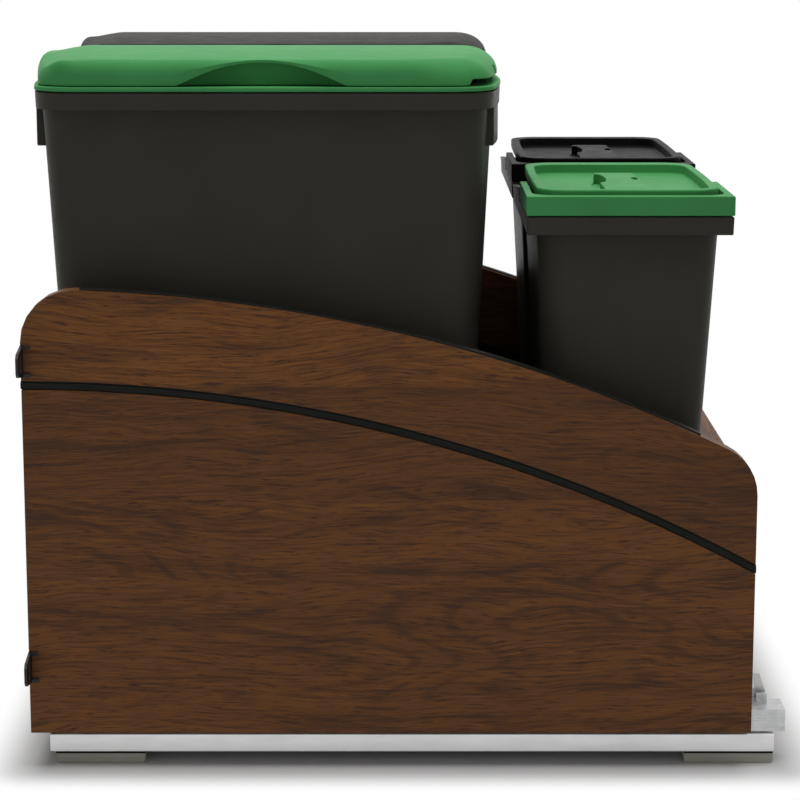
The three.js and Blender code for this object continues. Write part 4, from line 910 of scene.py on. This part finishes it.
def lid_shell():
    """The hinged dome as one closed skin: outside from the middle down to the lower edge, the scoops' roofs
    and backs, and the inside back up to the middle."""
    top = LARGE_BIN["rim_top"]
    stack = shell_outlines()
    rim = stack[0]
    count = np.arange(len(rim))

    def at(insets, heights=0.0):
        """The outline's points, each pushed in by its own inset, at heights above the rim."""
        place = np.clip(np.broadcast_to(insets, len(rim)) / INSET_STEP, 0, len(stack) - 1.001)
        lower = place.astype(int)
        share = (place - lower)[:, None]
        points = stack[lower, count] * (1 - share) + stack[lower + 1, count] * share
        points[:, 2] = top + heights
        return points

    def plateau(points):
        return np.array([shell_top(x, y) for x, y, _ in points])

    reach, drop = np.array([dome_edge(y) for _, y, _ in rim]).T
    lows = np.array([shell_low(x, y) for x, y, _ in rim])
    base = np.minimum(lows, np.array([shell_low_plain(y) for _, y, _ in rim]))
    shares = np.array([scoop_share(x, y) for x, y, _ in rim])
    depths = SCOOP_DEPTH * (1 - shares ** 4) * (shares < 1)
    # The wall ends, and the round starts, at the brow or a little above the lower edge
    wall_top = np.maximum(lows + 0.9, [brow(x, y) for x, y, _ in rim])
    wall = np.zeros(len(rim))
    for _ in range(3):
        first = np.arcsin(np.clip(1 - (plateau(at(wall)) - wall_top) / drop, 0.0, 0.999))
        wall = reach * (1 - np.cos(first))
    wall_top = plateau(at(wall)) - drop * (1 - np.sin(first))

    def outer(part):
        """The dome's edge, from the wall's top (0) to the plateau (1)."""
        turn = first + (math.pi / 2 - first) * part
        points = at(reach * (1 - np.cos(turn)))
        points[:, 2] = top + plateau(points) - drop * (1 - np.sin(turn))
        return points

    def under_dome(insets):
        points = at(insets)
        short = np.clip(1 - insets / reach, 0.0, 1.0)
        points[:, 2] = top + plateau(points) - drop * (1 - np.sqrt(1 - short ** 2)) - SHELL_WALL
        return points

    def scaled_in(points, share, sunk=0.0):
        shrunk = points.copy()
        shrunk[:, :2] *= share
        shrunk[:, 2] = top + plateau(shrunk) - sunk
        return shrunk

    shrinks = (0.95, 0.9, 0.82, 0.72, 0.58, 0.42, 0.25, 0.1)
    outside = [scaled_in(at(DOME_DEPTH), k) for k in reversed(shrinks)]
    outside += [scaled_in(at(reach + (DOME_DEPTH - reach) * k), 1.0) for k in (1.0, 0.8, 0.55, 0.3, 0.12)]
    outside += [outer(part) for part in np.linspace(1, 0, 11)]
    outside += [at(wall, (wall_top + lows) / 2), at(wall, lows + LIP), at(wall + LIP, lows)]
    recess = np.maximum(depths, wall + LIP)
    outside += [at(recess, lows), at(recess, base + LIP), at(recess + LIP, base)]
    start = np.maximum(depths, wall) + SHELL_WALL
    deepest = DOME_DEPTH + SHELL_WALL
    inside = [at(start, base)]
    inside += [under_dome(start + (deepest - start) * k) for k in (0, 0.1, 0.25, 0.45, 0.7, 1.0)]
    inside += [scaled_in(at(deepest), k, SHELL_WALL) for k in shrinks[1:]]
    return shade(hinged(loft("lid_shell", outside + inside)), 30.0)


def hinged(shell):
    """Room for the pin and for the ring's lugs at the rear of the shell, and the shell's own two lugs."""
    top = LARGE_BIN["rim_top"]
    pin_z = top + PIN_HEIGHT
    combine(shell, "DIFFERENCE", rod("pin_way", "x", BORE_RADIUS, -PIN_WAY_HALF, PIN_WAY_HALF, PIN_Y, pin_z))
    for end in (1, -1):
        span = span_about(end * RING_LUG_X, LUG_WIDTH / 2 + 1)
        clear = rod("clearance", "x", LUG_RADIUS + 1.4, *span, PIN_Y, pin_z)
        combine(shell, "DIFFERENCE", clear, block("behind", span, (PIN_Y, SHELL_Y + 1), (top, pin_z)))
        arm = block("arm", span_about(end * SHELL_LUG_X, LUG_WIDTH / 2),
                    (PIN_Y - LUG_RADIUS, PIN_Y + 1.0), (pin_z, top + ARM_TOP))
        combine(shell, "UNION", knuckled(arm, end * SHELL_LUG_X))
    return shell


# ---- Small bins' bails and lids --------------------------------------------------------------


def bail():
    """The U-shaped handle over the near half of the small bin's rim, with a peg in each lug."""
    low, high = SMALL_BIN["rim_top"] + BAIL_LOW, SMALL_BIN["rim_top"] + BAIL_TOP
    end = PIVOT_X - 5.0
    inner_y, inner_x = BAIL_OUTER - BAIL_ARM, BAIL_NEAR - BAIL_BAR
    centre_x, centre_y = inner_x - BAIL_CORNER, inner_y - BAIL_CORNER
    plan = [(end, BAIL_OUTER), (end, inner_y)]
    for sign, start, stop in ((1, math.pi / 2, 0), (-1, 0, -math.pi / 2)):
        for a in np.linspace(start, stop, 15):
            plan.append((centre_x + BAIL_CORNER * math.cos(a), sign * centre_y + BAIL_CORNER * math.sin(a)))
    plan += [(end, -inner_y), (end, -BAIL_OUTER), (BAIL_NEAR, -BAIL_OUTER), (BAIL_NEAR, BAIL_OUTER)]
    pivot_z = SMALL_BIN["rim_top"] + PIVOT_HEIGHT
    radius = PIVOT_HEIGHT - BAIL_LOW
    turns = np.linspace(-math.pi / 2, -math.pi, 13)
    side = [(BAIL_NEAR + 1, low)]
    side += [(PIVOT_X + radius * math.cos(a), pivot_z + radius * math.sin(a)) for a in turns]
    side += [(PIVOT_X - radius + 1.4, high), (BAIL_NEAR + 1, high)]
    obj = prism("bail", plan, "z", low, high)
    combine(obj, "INTERSECT", prism("side", side, "y", -BAIL_OUTER - 1, BAIL_OUTER + 1))
    ease(obj, 0.7, 3)
    for sign in (1, -1):
        span = sorted((sign * (inner_y - PEG_REACH), sign * (inner_y + 2)))
        combine(obj, "UNION", rod("peg", "y", PEG_RADIUS, *span, PIVOT_X, pivot_z))
    return shade(obj)


def small_lid():
    """The lift-off lid: a tray with a broad rim, a plug that drops into the bin's mouth and a thumb tab."""
    t, s = TRAY, SMALL_BIN
    top = s["rim_top"]
    xs = np.linspace(-70, 60, 14)

    def tray(z, sides, far, radius):
        near_x, far_x = t["near"] - sides, t["far"] + far
        middle, half_x = (near_x + far_x) / 2, (near_x - far_x) / 2
        half_y = t["half"] - sides
        points = ring(half_x, half_y - t["bow"], radius, top + z, xs, (), middle, 12)
        along = (points[:, 0] - middle) / half_x
        points[:, 1] *= 1 + t["bow"] / half_y * (1 - along ** 2)
        return points

    def outside(z, inset):
        return tray(z, inset, inset, t["radius"] - inset)

    def hollow(z, inset):
        return tray(z, t["rim"] + inset, t["far_rim"] + inset, t["inner_radius"] - inset)

    def plug(z, inset, radius):
        smaller = s["wall"] + 1.2 + inset
        return ring(s["wall_x"] - smaller, s["wall_y"] - smaller, radius, top + z, xs, (), 0.0, 12)

    low, roof, bottom, sheet = t["low"], t["floor"] - t["sheet"], -TRAY_PLUG_DROP, t["sheet"]
    rings = [plug(roof, sheet + 2, 18.0), plug(roof - 2, sheet, 19.0), plug(bottom, sheet + 0.7, 19.0)]
    rings += [plug(bottom, 1.3, 21.0), plug(bottom + 0.5, 0.9, 21.0), plug(low - 0.5, 0.0, 21.0)]
    rings += [plug(low, -0.4, 21.0)]
    rings += [outside(low, 1.0), outside(low + 0.3, 0.3), outside(low + 1.0, 0.0)]
    edge, lip, fillet = 1.5, 0.7, 1.2
    rings += [outside(t["top"] - edge * (1 - out), edge * up) for out, up in quarter(5)]
    rings += [hollow(t["top"] - lip * up, -lip * (1 - out)) for out, up in quarter(3)]
    rings += [hollow(t["floor"] + fillet * (1 - out), fillet * up + 0.6) for out, up in quarter(4)]
    obj = loft("small_lid", rings)
    combine(obj, "UNION", thumb_tab())
    above = top + t["top"] + 1
    bite = prism("bite", oval(*THUMB_BITE, 48), "z", top + t["floor"] - 0.8, above)
    dimple = prism("dimple", oval(*THUMB_DIMPLE, 48), "z", top + t["top"] - 2.6, above)
    return shade(combine(obj, "DIFFERENCE", bite, dimple))


def thumb_tab():
    """The raised thumb tab that runs back from the near rim."""
    top = SMALL_BIN["rim_top"]
    far, near, low, high, corner = (THUMB[key] for key in ("far", "near", "low", "high", "corner"))
    plan = [(near, low), (near, high)]
    for cx, cy, start in ((far + corner, high - corner, 90), (far + corner, low + corner, 180)):
        for a in np.radians(np.linspace(start, start + 90, 9)):
            plan.append((cx + corner * math.cos(a), cy + corner * math.sin(a)))
    tab = prism("tab", plan, "z", top + TRAY["floor"] - 0.6, top + TRAY["top"] - 0.25)
    return ease(tab, 0.9, 3)


# ---- Assembly --------------------------------------------------------------------------------

drawer_box()
fittings()

PATTERNS = {
    "large_bin": (large_bin(), LARGE_BIN_PLACE),
    "large_lid_ring": (lid_ring(), LARGE_BIN_PLACE),
    "large_lid_shell": (lid_shell(), LARGE_BIN_PLACE),
    "small_bin": (small_bin(), SMALL_BIN_PLACE),
    "small_bin_bail": (bail(), SMALL_BIN_PLACE),
    "small_bin_lid": (small_lid(), SMALL_BIN_PLACE),
}
for kind, (pattern, (x, y)) in PATTERNS.items():
    for word, side in SIDES:
        node = f"{kind}_{word}"
        finish_piece(copy_of(pattern), node, finish_of(node), (side * x, y, LIFT))
    bpy.data.objects.remove(pattern)

# ---- Floor, light and camera -----------------------------------------------------------------

# Metres, watts and degrees
WHITE = (1.0, 1.0, 1.0, 1.0)
FLOOR_SIZE = 60.0
FOOTPRINT = (0.26, 0.275, 0.0)
FADE = (0.0, 0.05)
KEY_SIZE = 2.4
KEY_HEIGHT = 2.3
KEY_POWER = 38.0
WORLD_LEVEL = 0.24
SENSOR_WIDTH = 36.0  # millimetres, as the lens
LENS = 112.5
EYE = (2.03345, -0.00685, 0.616)
LOOKING_DOWN = 10.76


def floor():
    """A plain pale floor that keeps the object's shadow and is white further out."""
    mesh = bpy.data.meshes.new("floor")
    half = FLOOR_SIZE / 2
    corners = [(-half, -half, 0), (half, -half, 0), (half, half, 0), (-half, half, 0)]
    mesh.from_pydata(corners, [], [(0, 1, 2, 3)])
    plane = bpy.data.objects.new("floor", mesh)
    bpy.context.collection.objects.link(plane)
    g = Finish("floor", Roughness=0.9, Specular_IOR_Level=0.0)
    speckle = g.noise(g.place, 1.2, 2)
    g.set("Base Color", g.mix(speckle, srgb("#E4E4E4"), srgb("#EBEBEB")))
    glow = g.add("ShaderNodeEmission", {"Color": WHITE, "Strength": 1.0})
    # How far a point of the floor lies outside the cabinet's footprint
    spread = g.add("ShaderNodeVectorMath", {0: g.place}, operation="ABSOLUTE").outputs[0]
    spread = g.add("ShaderNodeVectorMath", {0: spread, 1: FOOTPRINT}, operation="SUBTRACT").outputs[0]
    spread = g.add("ShaderNodeVectorMath", {0: spread, 1: (0, 0, 0)}, operation="MAXIMUM").outputs[0]
    away = g.add("ShaderNodeVectorMath", {0: spread}, operation="LENGTH").outputs["Value"]
    fade = g.math("MULTIPLY", g.between(away, *FADE), g.shows_background())
    joined = g.add("ShaderNodeMixShader", {0: fade, 1: g.shader.outputs[0], 2: glow.outputs[0]})
    g.show(joined.outputs[0], "Material Output")
    mesh.materials.append(g.material)


def lights():
    """One soft lamp overhead in a dim white room, which the camera sees as plain white."""
    lamp = bpy.data.lights.new("overhead", "AREA")
    lamp.shape = "SQUARE"
    lamp.size = KEY_SIZE
    lamp.energy = KEY_POWER
    key = bpy.data.objects.new("overhead", lamp)
    key.location = (0.0, 0.0, KEY_HEIGHT)
    bpy.context.collection.objects.link(key)
    world = bpy.data.worlds.new("studio")
    bpy.context.scene.world = world
    world.use_nodes = True
    g = Graph(world.node_tree)
    room = g.add("ShaderNodeBackground", {"Color": WHITE, "Strength": WORLD_LEVEL})
    white = g.add("ShaderNodeBackground", {"Color": WHITE, "Strength": 1.0})
    joined = g.add("ShaderNodeMixShader", {0: g.shows_background(), 1: room.outputs[0], 2: white.outputs[0]})
    g.show(joined.outputs[0], "World Output")


def camera():
    """Square to the right side and looking a little down, as in the photograph."""
    data = bpy.data.cameras.new("camera")
    data.sensor_width = SENSOR_WIDTH
    data.lens = LENS
    eye = bpy.data.objects.new("camera", data)
    eye.location = EYE
    eye.rotation_euler = (math.radians(90 - LOOKING_DOWN), 0.0, math.radians(90))
    bpy.context.collection.objects.link(eye)
    bpy.context.scene.camera = eye
    bpy.context.scene.view_settings.view_transform = "Standard"


floor()
lights()
camera()
